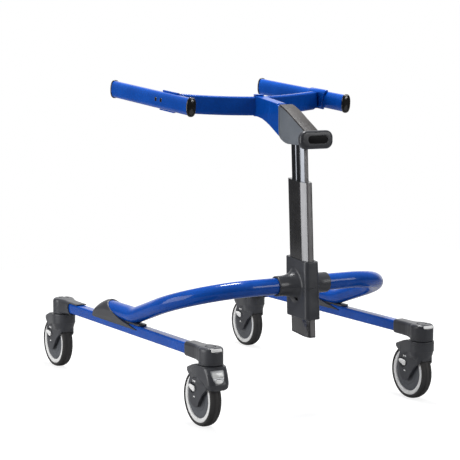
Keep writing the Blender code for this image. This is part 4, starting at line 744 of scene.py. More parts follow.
def saddleBody():
    top, low = saddle["railTop"], saddle["railTop"] - saddle["skirt"]
    half = bow["radius"] + saddle["wall"]
    crest = bow["endHeight"] + half
    rear = saddle["rear"]
    front = saddle["skirtFront"]
    side = [(rear + 0.001, low), (rear + 0.001, crest + 0.002), (0.0765, crest + 0.002)]
    side += [(y, crest - drop) for y, drop in ((0.0735, 0.0), (0.0724, 0.0022), (0.069, 0.0056),
                                               (0.0635, 0.0086), (0.0557, 0.0132), (0.0404, 0.02),
                                               (0.025, 0.026), (0.0092, 0.0316))]
    side += [(-0.0138, top + 0.0038), (-0.0381, top - 0.001), (front, low + 0.0012), (front + 0.001, low)]
    stations = ((rear, 0.003, 0.1668), (0.1585, 0.007, 0.1695), (0.156, 0.0105, 0.1728),
                (0.15, 0.015, 0.1795), (0.141, 0.0182, 0.1868), (0.131, 0.0203, 0.194),
                (0.121, 0.0212, 0.2004), (0.111, 0.0216, 0.2058), (0.101, 0.0218, 0.21),
                (0.09, 0.0219, 0.2138), (0.08, 0.0219, 0.216), (0.0735, 0.0219, crest),
                (-0.12, 0.0219, crest))
    skirt = elbow["railHalf"] + fit + saddle["wall"]
    rings = []
    for y, wide, peak in stations:
        centre = min(bow["endHeight"], low + 0.55 * (peak - low))
        foot = min(skirt, wide)
        ring = [(u * wide, y, centre + v * (peak - centre)) for u, v in arcOf((0.0, 0.0), 1.0, 0, 180, 32)]
        below = centre - low
        flank = [(foot * 0.45 + wide * 0.55, low + 0.45 * below), (foot, low + 0.1 * below),
                 (foot, low - 0.001)]
        rings.append(ring + [(-u, y, z) for u, z in flank] + [(u, y, z) for u, z in reversed(flank)])
    piece = loftOf("saddlePattern", rings)
    keepWithin(piece, slabOf("side", side, "x", -0.05, 0.05))
    softMould(piece, saddle["grain"], 5)
    edge, tip = saddle["tongueHalf"], saddle["tip"]
    tongue = mirrored([(edge - 0.006, tip), (edge - 0.0015, tip + 0.0025), (edge, tip + 0.008),
                       (edge, 0.005)])
    lip = slabOf("tongue", tongue, "z", top + 0.0003, top + 0.0044)
    roundEdges(lip, 0.0012, 3)
    joinWith(piece, lip)
    bore = [(x - bow["halfTrack"], y, z) for x, y, z in bowRoute()[:16]]
    cutAway(piece, tubeOf("bore", bore, bow["radius"] + fit, 12))
    carve(piece, socketOutline(), "y", -0.2, 0.3)
    return shadeBy(piece, 38)


def buildBow():
    tube = tubeOf("bowTube", bowRoute(), bow["radius"], 14)
    finishPiece(shadeBy(tube, 60), "base_frame", "bluePaint", "bow_tube")
    pattern = saddleBody()
    for side, sign in sides.items():
        piece = copyTo(pattern, side + "Saddle", (sign * bow["halfTrack"], 0.0, 0.0))
        finishPiece(piece, "base_frame", "blackPlastic", side + "_saddle")
    clearAway(pattern)
    print("bowed tube and saddles are made")


# Mast and hub

mast = {"half": 0.0145, "depth": 0.034, "corner": 0.006, "taper": 0.024, "strip": 0.0062, "groove": 0.0012,
        "low": -0.1085, "high": 0.236, "slope": 0.175, "innerHalf": 0.0095, "innerDepth": 0.024,
        "innerCorner": 0.004, "innerTaper": 0.0175, "innerFace": 0.0054, "scaleHalf": 0.0044,
        "innerLow": 0.108, "innerTop": 0.3424}


flankSteps = 12


def taperedSection(halfU, halfV, corner, taper, face, grow):
    # flat flanks that bend in over the taper's depth to a narrow front face
    rear = roundedBox(halfU, halfV, corner, 6)[:14]
    turn = 2 * math.atan((halfU - face) / taper)
    radius = taper / math.sin(turn)
    left = []
    for step in range(flankSteps + 1):
        angle = turn * step / flankSteps
        left.append((radius * (1 - math.cos(angle)) - halfU, taper - halfV - radius * math.sin(angle)))
    right = [(-u, v) for u, v in reversed(left)]
    return [(u + math.copysign(grow, u), v + math.copysign(grow, v)) for u, v in rear + left + right]


def outerSection(grow=0.0):
    face = mast["strip"] + mast["groove"]
    return taperedSection(mast["half"], mast["depth"], mast["corner"], mast["taper"], face, grow)


def innerSection(grow=0.0):
    return taperedSection(mast["innerHalf"], mast["innerDepth"], mast["innerCorner"], mast["innerTaper"],
                          mast["innerFace"], grow)


def mastSection():
    groove, floor = mast["strip"] + mast["groove"], 2 * mast["groove"] - mast["depth"]
    outline = outerSection()
    split = len(outline) - flankSteps - 1     # the right flank's points come last
    return outline[:split] + [(-groove, floor), (groove, floor)] + outline[split:]


def buildMast():
    tube = slabOf("outerMast", mastSection(), "z", mast["low"] - 0.02, mast["high"] + 0.02)
    carve(tube, innerSection(0.0004), "z", -0.2, 0.3)
    rise = Vector((0.0, -mast["slope"], 1.0)).normalized()
    cutFlat(tube, (0.0, 0.0, mast["high"]), rise)
    cutFlat(tube, (0.0, 0.0, mast["low"]), -rise)
    finishPiece(settle(shadeBy(tube, 25), mastPlace), "base_frame", "darkAnodised", "outer_mast")
    strip, face = mast["strip"], mast["depth"]
    insert = brick("mastInsert", (-strip, -face, mast["low"] - 0.02),
                   (strip, 0.0002 - face + 2 * mast["groove"], mast["high"] + 0.02))
    roundEdges(insert, 0.0004, 2)
    cutFlat(insert, (0.0, 0.0, mast["high"] - 0.0004), rise)
    cutFlat(insert, (0.0, 0.0, mast["low"] + 0.0004), -rise)
    finishPiece(settle(shadeBy(insert, 35), mastPlace), "base_frame", "greyAnodised")

    foot = slabOf("mastFoot", outerSection(-0.0001), "z", mast["low"] - 0.02, mast["low"] + 0.02)
    cutFlat(foot, (0.0, 0.0, mast["low"] - 0.0003), rise)
    cutFlat(foot, (0.0, 0.0, mast["low"] - 0.0033), -rise)
    shadeBy(roundEdges(foot, 0.0009, 2, 50), 35)
    finishPiece(settle(foot, mastPlace), "base_frame", "blackPlastic", "mast_foot")

    core = slabOf("innerMast", innerSection(), "z", mast["innerLow"], mast["innerTop"])
    for sign in (-1, 1):
        drill(core, 0.005, "z", 0.0, 0.5, (sign * (mast["innerHalf"] + 0.0027), 0.0042), 48)
    recess = mast["scaleHalf"] + fit
    cutAway(core, brick("recess", (-recess, -0.04, 0.0), (recess, -mast["innerDepth"] + 0.0023, 0.5)))
    carve(core, roundedBox(0.005, 0.008, 0.002, 4, (0.0, 0.012)), "z", 0.0, 0.5)
    drill(core, 0.0064, "z", 0.0, 0.5, (0.0, -0.01), 40)
    finishPiece(settle(shadeBy(core, 25), mastPlace), "upper_frame", "brightAluminium", "inner_mast")
    print("mast is made")


def buildScale():
    # strip with a fine tooth every 3 mm and a deeper one every 12 mm
    front, low, high = -mast["innerDepth"], mast["innerLow"] + 0.008, mast["innerTop"] - 0.008
    outline = [(front + 0.002, low), (front + 0.002, high), (front, high)]
    pitch, count = 0.003, 0
    z = high - pitch
    while z > low + pitch:
        deep = 0.001 if count % 4 == 0 else 0.0005
        outline += [(front, z + 0.0008), (front + deep, z + 0.0003), (front + deep, z - 0.0003),
                    (front, z - 0.0008)]
        z -= pitch
        count += 1
    outline.append((front, low))
    piece = slabOf("heightScale", outline, "x", -mast["scaleHalf"], mast["scaleHalf"])
    finishPiece(settle(shadeBy(piece, 20), mastPlace), "upper_frame", "greyAnodised", "height_scale",
                slotName="aluminium")


hub = {"half": 0.02, "depth": 0.044, "behind": 0.003, "above": 0.0592, "below": -0.073, "topSlope": 0.146,
       "seamSlope": 0.12, "bottomSlope": 0.1, "corner": 0.0098, "collar": 0.0232, "reach": 0.068,
       "grain": 0.0009, "seat": (0.009982, 0.000607), "bolt": (-0.0045, -0.03), "flareFrom": 0.053,
       "flareLength": 0.033, "flareBack": 0.029, "flareFront": 0.0425, "flareHeight": 0.041}


def hubHalf(z):
    return hub["half"] - (0.0004 * (z + 0.09) / 0.09 if z < 0 else 0.0004 + 0.0225 * z)


def collarRing(x, bowY, bowZ):
    # round where the tube comes out, drawn to a point fore and aft where the block stands
    inward = min(max((hub["flareFrom"] - abs(x)) / hub["flareLength"], 0.0), 1.0)
    pull = 1 - math.sqrt(1 - inward ** 2)
    radius = hub["collar"] - 0.0008 * (abs(x) > 0.0675)
    ring = []
    for step in range(72):
        angle = 2 * math.pi * step / 72
        c, d = math.cos(angle), math.sin(angle)
        outward = c * hub["flareBack" if c > 0 else "flareFront"]
        height = math.copysign(hub["flareHeight"] * max(1 - c ** 2, 0.0) ** 0.9, d)
        y = radius * c * (1 - pull) + outward * pull
        z = bowZ + radius * d * (1 - pull) + (height + hub["seamSlope"] * y) * pull
        ring.append((x - math.copysign((hub["half"] - hubHalf(z)) * pull, x), bowY + y, z))
    return ring


def buildHub():
    bowY, bowZ = hub["seat"]
    levels = []
    for z in (-0.09, 0.0, 0.08):
        section = roundedBox(hubHalf(z), hub["depth"], hub["corner"], 6, (0.0, hub["behind"]))
        levels.append([(u, v, z) for u, v in section])
    body = loftOf("hubPattern", levels)
    ends = ((-0.1, "below", "bottomSlope"), (0.1, "below", "bottomSlope"), (0.1, "above", "topSlope"),
            (-0.1, "above", "topSlope"))
    slopes = [(y, hub[height] + y * hub[slope]) for y, height, slope in ends]
    keepWithin(body, slabOf("slopes", slopes, "x", -0.05, 0.05))
    turns = [math.radians(turn) for turn in range(0, 91, 9)]
    flare = [hub["flareFrom"] - hub["flareLength"] * math.sin(turn) for turn in turns]
    places = [hub["reach"], 0.0674, 0.06] + flare + [0.0185]
    collars = loftOf("collars", [collarRing(x, bowY, bowZ) for x in places + [-x for x in reversed(places)]])
    joinWith(body, collars)
    softMould(body, hub["grain"], 16)
    drill(body, bow["radius"] + 0.0005, "x", -0.1, 0.1, hub["seat"], 64)
    carve(body, outerSection(fit), "z", -0.2, 0.2)
    for sign in (-1, 1):
        low, high = sorted((sign * (hub["half"] - 0.004), sign * 0.05))
        drill(body, 0.0044, "x", low, high, hub["bolt"], 28)
    seam = bowZ - bowY * hub["seamSlope"]
    rise = Vector((0.0, -hub["seamSlope"], 1.0)).normalized()
    for name, node, point, normal in (("hubLower", "hub_lower_clamp", seam - 0.0002, rise),
                                      ("hubUpper", "hub_upper_clamp", seam + 0.0002, -rise)):
        half = copyTo(body, name)
        cutFlat(half, (0.0, 0.0, point), normal)
        finishPiece(settle(shadeBy(half, 38), mastPlace), "base_frame", "blackPlastic", node)
    clearAway(body)
    print("hub is clamped round the mast")


def buildHubScrews():
    # socket screws at the bottom of the two recesses
    screw = discOf("hubScrews", 0.0036, "x", -0.0178, 0.0178, hub["bolt"], 28)
    roundEdges(screw, 0.0005, 2)
    for low, high in ((0.0168, 0.03), (-0.03, -0.0168)):
        carve(screw, arcOf(hub["bolt"], 0.0017, 0, 300, 5), "x", low, high)
    cutAway(screw, brick("between", (-0.0161, -0.1, -0.1), (0.0161, 0.1, 0.1)))
    finishPiece(settle(shadeBy(screw, 35), mastPlace), "base_frame", "steel")


# Head, neck and release lever

head = {"half": 0.0172, "wall": 0.0044, "step": 0.0015, "rise": 0.0026, "neckHalf": 0.0125, "slot": 0.0076}


def ridgeLine(rise):
    points = [(0.062, 0.086), (0.05, 0.0822), (0.039, 0.0777), (0.031, 0.0742), (0.024, 0.0706),
              (0.012, 0.0641), (0.0, 0.057), (-0.013, 0.0499), (-0.026, 0.0427), (-0.039, 0.0355),
              (-0.05, 0.029)]
    return [(y, z + rise) for y, z in points]


def mastSocket(low, high):
    outline = roundedBox(mast["innerHalf"] + fit, mast["innerDepth"] + fit, mast["innerCorner"], 4)
    return settle(slabOf("socket", outline, "z", low, high), mastTurn)


def buildHead():
    seam = list(reversed(ridgeLine(-head["step"])))
    outline = seam + [(0.064, 0.0842), (0.0658, 0.0826), (0.0655, 0.056), (0.065, 0.034), (0.0642, 0.024),
                      (0.062, 0.016), (0.056, 0.0098), (0.046, 0.005), (0.037, 0.0018), (0.0267, 0.0),
                      (-0.0173, 0.0), (-0.029, 0.0018), (-0.036, 0.004), (-0.0412, 0.009), (-0.045, 0.017)]
    cover = slabOf("coverPattern", outline, "x", -head["half"], head["half"])
    roundEdges(cover, 0.0018, 3, 50)
    gate = head["neckHalf"] + fit
    pocket = [(0.061, 0.09), (0.061, 0.034), (0.058, 0.0175), (0.045, head["wall"]), (-0.031, head["wall"]),
              (-0.0358, 0.0108), (-0.0364, 0.03), (-0.0364, 0.1), (0.061, 0.1)]
    neckGate = [(0.045, head["wall"]), (0.0617, 0.0112), (0.075, 0.0165), (0.075, 0.1), (0.045, 0.1)]
    leverGate = [(-0.06, 0.002), (-0.03, 0.006), (-0.03, 0.06), (-0.06, 0.06)]
    carve(cover, pocket, "x", -gate, gate)
    carve(cover, neckGate, "x", -gate, gate)
    carve(cover, leverGate, "x", -head["slot"], head["slot"])
    cutAway(cover, mastSocket(-0.03, 0.03))
    panel = [(0.0606, 0.079), (0.0606, 0.056), (0.0601, 0.034), (0.0592, 0.0252), (0.0574, 0.019),
             (0.053, 0.0138), (0.0445, 0.0096), (0.036, 0.0066), (0.0262, 0.005), (-0.017, 0.005),
             (-0.0275, 0.0066), (-0.0335, 0.009), (-0.04, 0.02), (-0.06, 0.026), (-0.06, 0.1), (0.05, 0.1)]
    for low, high in ((head["half"] - 0.0005, 0.03), (-0.03, 0.0005 - head["half"])):
        carve(cover, panel, "x", low, high)
    for side, sign in sides.items():
        half = copyTo(cover, side + "Cover")
        cutFlat(half, (sign * 0.00015, 0.0, 0.0), (-sign, 0.0, 0.0))
        finishPiece(settle(shadeBy(half, 35), headPlace), "upper_frame", "greyPlastic",
                    "head_" + side + "_cover")
    clearAway(cover)
    under = list(reversed(ridgeLine(0.0003 - head["step"])))
    top = [(0.0662, 0.0846), (0.0655, 0.086), (0.063, 0.0872), (0.059, 0.087)] + ridgeLine(head["rise"])[1:]
    ridge = slabOf("headRidge", top + under + [(0.0645, 0.0838)], "x", -head["half"], head["half"])
    nose = arcOf((head["half"] - 0.0085, 0.0578), 0.0085, 10, 90, 8)
    plan = [(head["half"] + 0.001, -0.09), (head["half"] + 0.001, 0.054)] + nose
    keepWithin(ridge, slabOf("plan", mirrored(plan), "z", 0.0, 0.2))
    shadeBy(roundEdges(ridge, 0.0019, 4, 40), 40)
    finishPiece(settle(ridge, headPlace), "upper_frame", "brownPlastic", "head_ridge")
    print("head covers are closed")


yoke = {"back": 0.1767, "bottom": 0.055, "knuckle": 0.0117, "gap": fit, "barrel": 0.0125, "pin": 0.0048,
        "cap": 0.0032}


def yokeLevels():
    pitch = yoke["knuckle"] + yoke["gap"]
    lows = [yoke["bottom"] + pitch * index for index in range(4)]
    return [(low, low + yoke["knuckle"]) for low in lows]


def buildNeck():
    levels = yokeLevels()
    top = levels[3][1]
    back = yoke["back"]
    outline = [(back, yoke["bottom"]), (back, top), (back - 0.012, top - 0.001), (0.14, 0.0976),
               (0.11, 0.0934), (0.0785, 0.0888), (0.0765, 0.0848), (0.06, 0.0805), (0.038, 0.0725),
               (0.023, 0.066), (-0.001, 0.052), (-0.03, 0.035), (-0.0355, 0.03), (-0.0355, 0.011),
               (-0.031, head["wall"] + fit), (0.045, head["wall"] + fit), (0.054, 0.0072), (0.0617, 0.0115),
               (0.0717, 0.0162), (0.084, 0.0228), (0.0967, 0.03), (0.111, 0.0376), (0.1247, 0.044),
               (0.143, 0.0508), (back - 0.012, yoke["bottom"])]
    neck = slabOf("neckBody", outline, "x", -head["neckHalf"], head["neckHalf"])
    for low, high in (levels[0], levels[3]):
        joinWith(neck, discOf("knuckle", yoke["barrel"], "z", low, high, (0.0, back), 40))
    softMould(neck, 0.001, 6)
    clear = yoke["barrel"] + 0.0006
    drill(neck, clear, "z", levels[0][1], levels[3][0], (0.0, back), 48)
    drill(neck, yoke["pin"] + 0.0004, "z", 0.0, 0.2, (0.0, back), 32)
    cutAway(neck, mastSocket(-0.03, 0.0263))
    slotSide = [(0.045, 0.0255), (-0.0262, 0.0255), (-0.0262, 0.012), (-0.036, 0.006), (-0.06, 0.004),
                (-0.06, 0.1), (0.045, 0.1)]
    carve(neck, slotSide, "x", -head["slot"], head["slot"])
    finishPiece(settle(shadeBy(neck, 38), headPlace), "upper_frame", "bluePaint", "neck")
    pin = discOf("yokePin", yoke["pin"], "z", levels[0][0] - 0.001, top + 0.001, (0.0, back), 32)
    cap = discOf("cap", yoke["barrel"], "z", top + fit, top + fit + yoke["cap"], (0.0, back), 48)
    roundEdges(cap, 0.0012, 3)
    joinWith(pin, cap)
    finishPiece(settle(shadeBy(pin, 35), headPlace), "upper_frame", "bluePaint", "yoke_pin")
    print("neck and yoke pin are made")


lever = {"pivot": (0.033, 0.047), "half": 0.007, "width": 0.043, "height": 0.0205, "front": -0.071,
         "depth": 0.016, "middle": 0.0145, "corner": 0.0165, "inlay": (0.0256, 0.0088, 0.0086)}


def inlayOutline(grow):
    halfU, halfV, corner = [value + grow for value in lever["inlay"]]
    return roundedBox(halfU, halfV, corner, 10, (0.002, lever["middle"] + 0.0006))


def buildLever():
    y0, z0 = lever["pivot"]
    outline = roundedBox(lever["width"], lever["height"], lever["corner"], 10, (0.0, lever["middle"]))
    paddle = slabOf("releaseLever", outline, "y", lever["front"], lever["front"] + lever["depth"])
    roundEdges(paddle, 0.0058, 5, 40)
    carve(paddle, inlayOutline(0.0006), "y", -0.09, lever["front"] + 0.0007)
    back = lever["front"] + lever["depth"] - 0.004
    crest = [(y0, z0 + 0.006), (-0.0076, 0.048), (-0.0275, 0.0385), (-0.04, 0.031), (-0.05, 0.026),
             (back, 0.026)]
    under = [(back, 0.011), (-0.042, 0.013), (-0.032, 0.02), (-0.03, 0.03), (-0.027, 0.0325),
             (-0.004, 0.0325)]
    stem = slabOf("stem", crest + under + [(y0, z0 - 0.006)], "x", -lever["half"], lever["half"])
    joinWith(paddle, roundEdges(stem, 0.0008, 2, 50))
    joinWith(paddle, discOf("boss", 0.006, "x", -lever["half"], lever["half"], (y0, z0), 32))
    joinWith(paddle, discOf("pin", 0.0028, "x", -0.0102, 0.0102, (y0, z0), 24))
    finishPiece(settle(shadeBy(paddle, 35), headPlace), "release_lever", "blackPlastic", "release_lever")
    inlay = slabOf("leverInlay", inlayOutline(0.0), "y", lever["front"] + 0.0002, lever["front"] + 0.0009)
    roundEdges(inlay, 0.0003, 2)
    finishPiece(settle(shadeBy(inlay, 35), headPlace), "release_lever", "deepBlack")
    print("lever is hung on its pivot")


# Yoke bars, brackets and arms

bar = {"thick": 0.018, "height": 0.044, "rounding": 0.006, "rise": 0.008, "pinX": 0.187, "pinY": 0.05,
       "stations": 16, "armBarrel": 0.0075, "lug": 0.023}
yokeMiddle = yoke["bottom"] + 2 * yoke["knuckle"] + 1.5 * yoke["gap"]
armMiddle = yokeMiddle + bar["rise"]


def barBody(side, sign):
    end = Vector((sign * bar["pinX"], bar["pinY"]))
    along = end.normalized()
    across = Vector((-along.y, along.x))
    first = yoke["barrel"] / 2
    section = roundedBox(bar["thick"] / 2, bar["height"] / 2, bar["rounding"], 6)
    rings = []
    for step in range(bar["stations"] + 1):
        reach = first + (end.length - first) * step / bar["stations"]
        lift = yokeMiddle + bar["rise"] * (reach / end.length) ** 2
        rings.append([tuple(along * reach + across * u) + (lift + v,) for u, v in section])
    piece = loftOf(side + "Bar", rings)
    clear = yoke["barrel"] + 0.0006
    drill(piece, clear, "z", -0.1, 0.2)
    beside = head["neckHalf"] + fit
    cutAway(piece, brick("beside", (-beside, -0.1, -0.1), (beside, 0.0, 0.2)))
    own = yokeLevels()[1 if side == "right" else 2]
    tongueEnd = along * (math.hypot(clear, bar["thick"] / 2) + 0.004)
    flank = across * yoke["barrel"] * 0.48
    tongue = [tuple(flank), tuple(tongueEnd + flank), tuple(tongueEnd - flank), tuple(-flank)]
    joinWith(piece, discOf("knuckle", yoke["barrel"], "z", own[0], own[1], steps=48))
    joinWith(piece, slabOf("tongue", tongue, "z", own[0] + 0.0001, own[1] - 0.0001))
    drill(piece, yoke["pin"] + 0.0004, "z", -0.1, 0.2, steps=32)
    spot = (end.x, end.y)
    lugLow, lugHigh = armMiddle - bar["lug"] / 2, armMiddle + bar["lug"] / 2
    for low, high in ((-0.1, lugLow), (lugHigh, 0.2)):
        drill(piece, bar["armBarrel"] + 0.002, "z", low, high, spot, 40)
    beyond = end + along * bar["armBarrel"] * 0.2
    wide, far = across * 0.03, along * 0.04
    trim = (beyond + wide, beyond - wide, beyond - wide + far, beyond + wide + far)
    carve(piece, [tuple(corner) for corner in trim], "z", -0.1, 0.2)
    joinWith(piece, discOf("lug", bar["armBarrel"], "z", lugLow, lugHigh, spot, 40))
    drill(piece, 0.0034, "z", -0.1, 0.2, spot, 28)
    return shadeBy(piece, 35)


arm = {"out": 0.023, "back": 0.0875, "up": 0.0095, "pitch": 4.2, "halfWidth": 0.011, "halfHeight": 0.02,
       "wall": 0.002, "half": 0.187, "cap": 0.0045, "shell": 0.0038, "bracket": 0.084, "behind": 0.011,
       "lip": 0.003, "barrel": 0.038, "screws": (-0.0415, -0.0665)}


def armOval(wider=0.0, higher=0.0, steps=56):
    # the tubes' flattened oval, fuller than an ellipse
    points = []
    for step in range(steps):
        angle = 2 * math.pi * step / steps
        c, s = math.cos(angle), math.sin(angle)
        points.append(((arm["halfWidth"] + wider) * math.copysign(abs(c) ** 0.75, c),
                       (arm["halfHeight"] + higher) * math.copysign(abs(s) ** 0.85, s)))
    return points


def capShape():
    inner = arm["half"] + fit
    outer = inner + arm["cap"]
    cap = slabOf("capPattern", armOval(0.00125, 0.0022), "y", inner, outer)
    roundEdges(cap, 0.0015, 3)
    wall = arm["wall"] + 0.0006
    joinWith(cap, slabOf("plug", armOval(-wall, -wall, 40), "y", inner - 0.01, inner + 0.001))
    carve(cap, armOval(-0.0022, -0.002, 40), "y", outer - 0.0005, inner + 0.02)
    dome = slabOf("dome", armOval(-0.0027, -0.0025, 40), "y", inner + 0.002, outer)
    joinWith(cap, roundEdges(dome, 0.0006, 2))
    return shadeBy(cap, 35)


def bracketShape(sign, toPin):
    middle = arm["behind"] - arm["back"]
    halfWidth, halfHeight, grow = arm["halfWidth"], arm["halfHeight"], arm["shell"]
    reach = arm["bracket"] / 2
    outline = roundedBox(halfWidth + grow, halfHeight + grow, 0.009, 8)
    shell = slabOf("shell", outline, "y", middle - reach, middle + reach)
    top = halfHeight + 2 * grow
    slant = [(middle + reach, -top), (middle + reach - 0.016, top), (middle - reach, top),
             (middle - reach + 0.016, -top)]
    keepWithin(shell, slabOf("slant", slant, "x", -0.1, 0.1))
    roundEdges(shell, 0.001, 2, 50)
    carve(shell, armOval(fit, fit), "y", -0.3, 0.3)
    near, far = sorted((-sign * arm["lip"], sign * 0.04))
    cutAway(shell, brick("open", (near, -0.3, -0.05), (far, 0.3, 0.05)))
    innerFace = sign * (arm["out"] - halfWidth - fit - 0.00175)
    wide = bar["armBarrel"] * 0.66
    web = [(0.0, -wide), (innerFace, -wide), (innerFace, wide), (0.0, wide)]
    lug = bar["lug"] / 2 + yoke["gap"]
    low, high = armMiddle - arm["barrel"] / 2, armMiddle + arm["barrel"] / 2
    for start, stop in ((low, armMiddle - lug), (armMiddle + lug, high)):
        knuckle = discOf("knuckle", bar["armBarrel"], "z", start, stop, steps=40)
        roundEdges(knuckle, 0.0006, 2)
        joinWith(shell, settle(knuckle, toPin))
        joinWith(shell, settle(slabOf("web", web, "z", start + 0.0001, stop - 0.0001), toPin))
    joinWith(shell, settle(discOf("pin", 0.003, "z", low + 0.001, high - 0.001, steps=24), toPin))
    return shadeBy(shell, 35)


def buildArms():
    capPattern = capShape()
    tubePattern = slabOf("tubePattern", armOval(), "y", -arm["half"], arm["half"])
    carve(tubePattern, armOval(-arm["wall"], -arm["wall"]), "y", -0.3, 0.3)
    shadeBy(tubePattern, 35)
    for side, sign in sides.items():
        yokePlace = headPlace @ Matrix.Translation((0.0, yoke["back"], 0.0))
        finishPiece(settle(barBody(side, sign), yokePlace), side + "_bar", "bluePaint", side + "_bar")
        body = side + "_arm"
        pinPlace = yokePlace @ Matrix.Translation((sign * bar["pinX"], bar["pinY"], 0.0))
        tilt = Matrix.Rotation(math.radians(arm["pitch"]), 4, "X")
        shift = Matrix.Translation((sign * arm["out"], arm["back"], armMiddle + arm["up"]))
        place = pinPlace @ shift @ tilt
        toPin = (shift @ tilt).inverted()
        finishPiece(settle(copyTo(tubePattern, side + "ArmTube"), place), body, "bluePaint",
                    side + "_arm_tube")
        finishPiece(settle(bracketShape(sign, toPin), place), body, "bluePaint", side + "_bracket")
        finishPiece(settle(copyTo(capPattern, side + "RearCap"), place), body, "glossBlack",
                    side + "_rear_cap")
        front = copyTo(capPattern, side + "FrontCap", turn=Matrix.Rotation(math.pi, 4, "Z"))
        finishPiece(settle(front, place), body, "glossBlack", side + "_front_cap")
        screws = None
        near, far = sorted((sign * (arm["halfWidth"] - 0.0008), sign * (arm["halfWidth"] + 0.0009)))
        for along in arm["screws"]:
            shank = slabOf("screw", roundedBox(0.0046, 0.005, 0.0045, 8, (along, 0.002)), "x", near, far)
            roundEdges(shank, 0.0005, 2)
            deep, out = sorted((sign * arm["halfWidth"], sign * 0.03))
            carve(shank, arcOf((along, 0.002), 0.0023, 0, 300, 5), "x", deep, out)
            screws = shank if screws is None else joinWith(screws, shank)
        screws.name = side + "ArmScrews"
        finishPiece(settle(shadeBy(screws, 35), place), body, "glossBlack")
    clearAway(capPattern, tubePattern)
    print("bars and arms are made")


# Distance counter

counter = {"across": -0.0048, "lean": -20.5, "middle": (-0.0402, 0.121),
           "stations": ((0.0888, 0.019, 0.035, 0.012), (0.091, 0.0238, 0.0415, 0.015),
                        (0.0965, 0.0268, 0.0458, 0.018), (0.105, 0.028, 0.0474, 0.02),
                        (0.116, 0.0284, 0.044, 0.02), (0.128, 0.0284, 0.0388, 0.02),
                        (0.137, 0.0284, 0.0335, 0.02), (0.1408, 0.0284, 0.03, 0.02))}


def counterRing(height, halfWidth, front, corner):
    # the bulge leans a little to the outer side as it comes forward
    points = arcOf((halfWidth - corner, corner - front), corner, -90, 0, 14)
    back = [(0.029, -0.004), (0.029, 0.006), (0.0285, 0.014), (0.027, 0.026), (0.0246, 0.04), (0.0208, 0.056)]
    ring = []
    for u, v in mirrored(points + back):
        lean = min(max((-v - 0.012) / 0.03, 0.0), 1.0)
        ring.append((max(u + counter["across"] * lean + 0.002 * (u > 0.005) * lean, -0.029), v, height))
    return ring


def buildCounter():
    x, y = swivels["front_right"]
    spot = Matrix.Translation((x, y, 0.0))
    lean = Matrix.Rotation(math.radians(counter["lean"]), 4, "X")
    face = Matrix.Translation((counter["across"], *counter["middle"])) @ lean
    case = loftOf("counterCase", [counterRing(*station) for station in counter["stations"]])
    sweep = [(-0.06, 0.0868), (-0.046, 0.0888), (-0.039, 0.0935), (-0.033, 0.0985), (-0.0208, 0.1058),
             (-0.0026, 0.1132), (0.0202, 0.1184), (0.0433, 0.12), (0.056, 0.1196), (0.056, 0.125),
             (0.0433, 0.1318), (0.02, 0.138), (0.0, 0.1402), (-0.06, 0.1402)]
    keepWithin(case, slabOf("sweep", sweep, "x", -0.05, 0.05))
    softMould(case, 0.0008, 9)
    drill(case, fork["well"] + 0.001, "x", -fork["wellHalf"], fork["wellHalf"], (trail, axleHeight), 72)
    carve(case, roundedBox(fork["cheek"] - 0.0015, 0.02, 0.004, 4, (0.0, 0.012)), "z", 0.05, 0.16)
    shield = mirrored([(0.0, -0.0158), (0.0055, -0.015), (0.0105, -0.0122), (0.0142, -0.006), (0.0158, 0.003),
                       (0.016, 0.014), (0.015, 0.0158)])
    slot = roundedBox(0.008, 0.005, 0.0045, 8, (0.0, -0.0088))
    window = roundedBox(0.0134, 0.0062, 0.0014, 4, (0.0, 0.0052))
    cutAway(case, settle(slabOf("recess", shield, "y", -0.02, 0.0016), face))
    cutAway(case, settle(slabOf("slot", slot, "y", -0.02, 0.006), face))
    finishPiece(settle(shadeBy(case, 38), spot), "front_right_caster", "blackPlastic", "counter_housing")
    pad = slabOf("counterPad", [(u * 0.975, v * 0.975) for u, v in shield], "y", -0.0004, 0.002)
    roundEdges(pad, 0.0006, 2)
    carve(pad, slot, "y", -0.02, 0.02)
    carve(pad, window, "y", -0.02, 0.0005)
    finishPiece(settle(shadeBy(pad, 35), spot @ face), "front_right_caster", "silverPlastic")
    glass = roundedBox(0.0132, 0.006, 0.0013, 4, (0.0, 0.0052))
    screen = slabOf("counterScreen", glass, "y", -0.0002, 0.0012)
    roundEdges(screen, 0.0003, 2)
    finishPiece(settle(shadeBy(screen, 35), spot @ face), "front_right_caster", "screenGlass")
    pill = roundedBox(0.0077, 0.0043, 0.0042, 8, (0.0, -0.0092))
    button = slabOf("counterButton", pill, "y", -0.0018, 0.0042)
    roundEdges(button, 0.0012, 4)
    finishPiece(settle(shadeBy(button, 35), spot @ face), "counter_button", "whitePlastic", "counter_button")
    print("counter is on the right front fork")


buildWheels()
buildForks()
buildFittings()
buildBow()
buildMast()
buildScale()
buildHub()
buildHubScrews()
buildHead()
buildNeck()
buildLever()
buildArms()
buildCounter()


# Studio

studio = {"floor": 0.3, "glow": 0.8, "dim": 0.4, "floorSide": 4.0, "low": 0.09, "high": 0.42, "rise": 0.9,
          "backdrop": (0.51, 0.86, 0.0), "edge": (0.72, 0.92), "mirrored": 0.1,
          "lamps": {"overhead": ((0.2, 0.3, 2.6), (0.0, -0.1, 0.3), (0.7, 0.7), 66.0),
                    "leftBox": ((-2.8, 0.35, 0.85), (0.0, -0.2, 0.45), (2.3, 1.9), 55.0),
                    "rightFill": ((1.9, -3.1, 1.35), (0.0, -0.1, 0.35), (1.4, 1.2), 28.0)}}


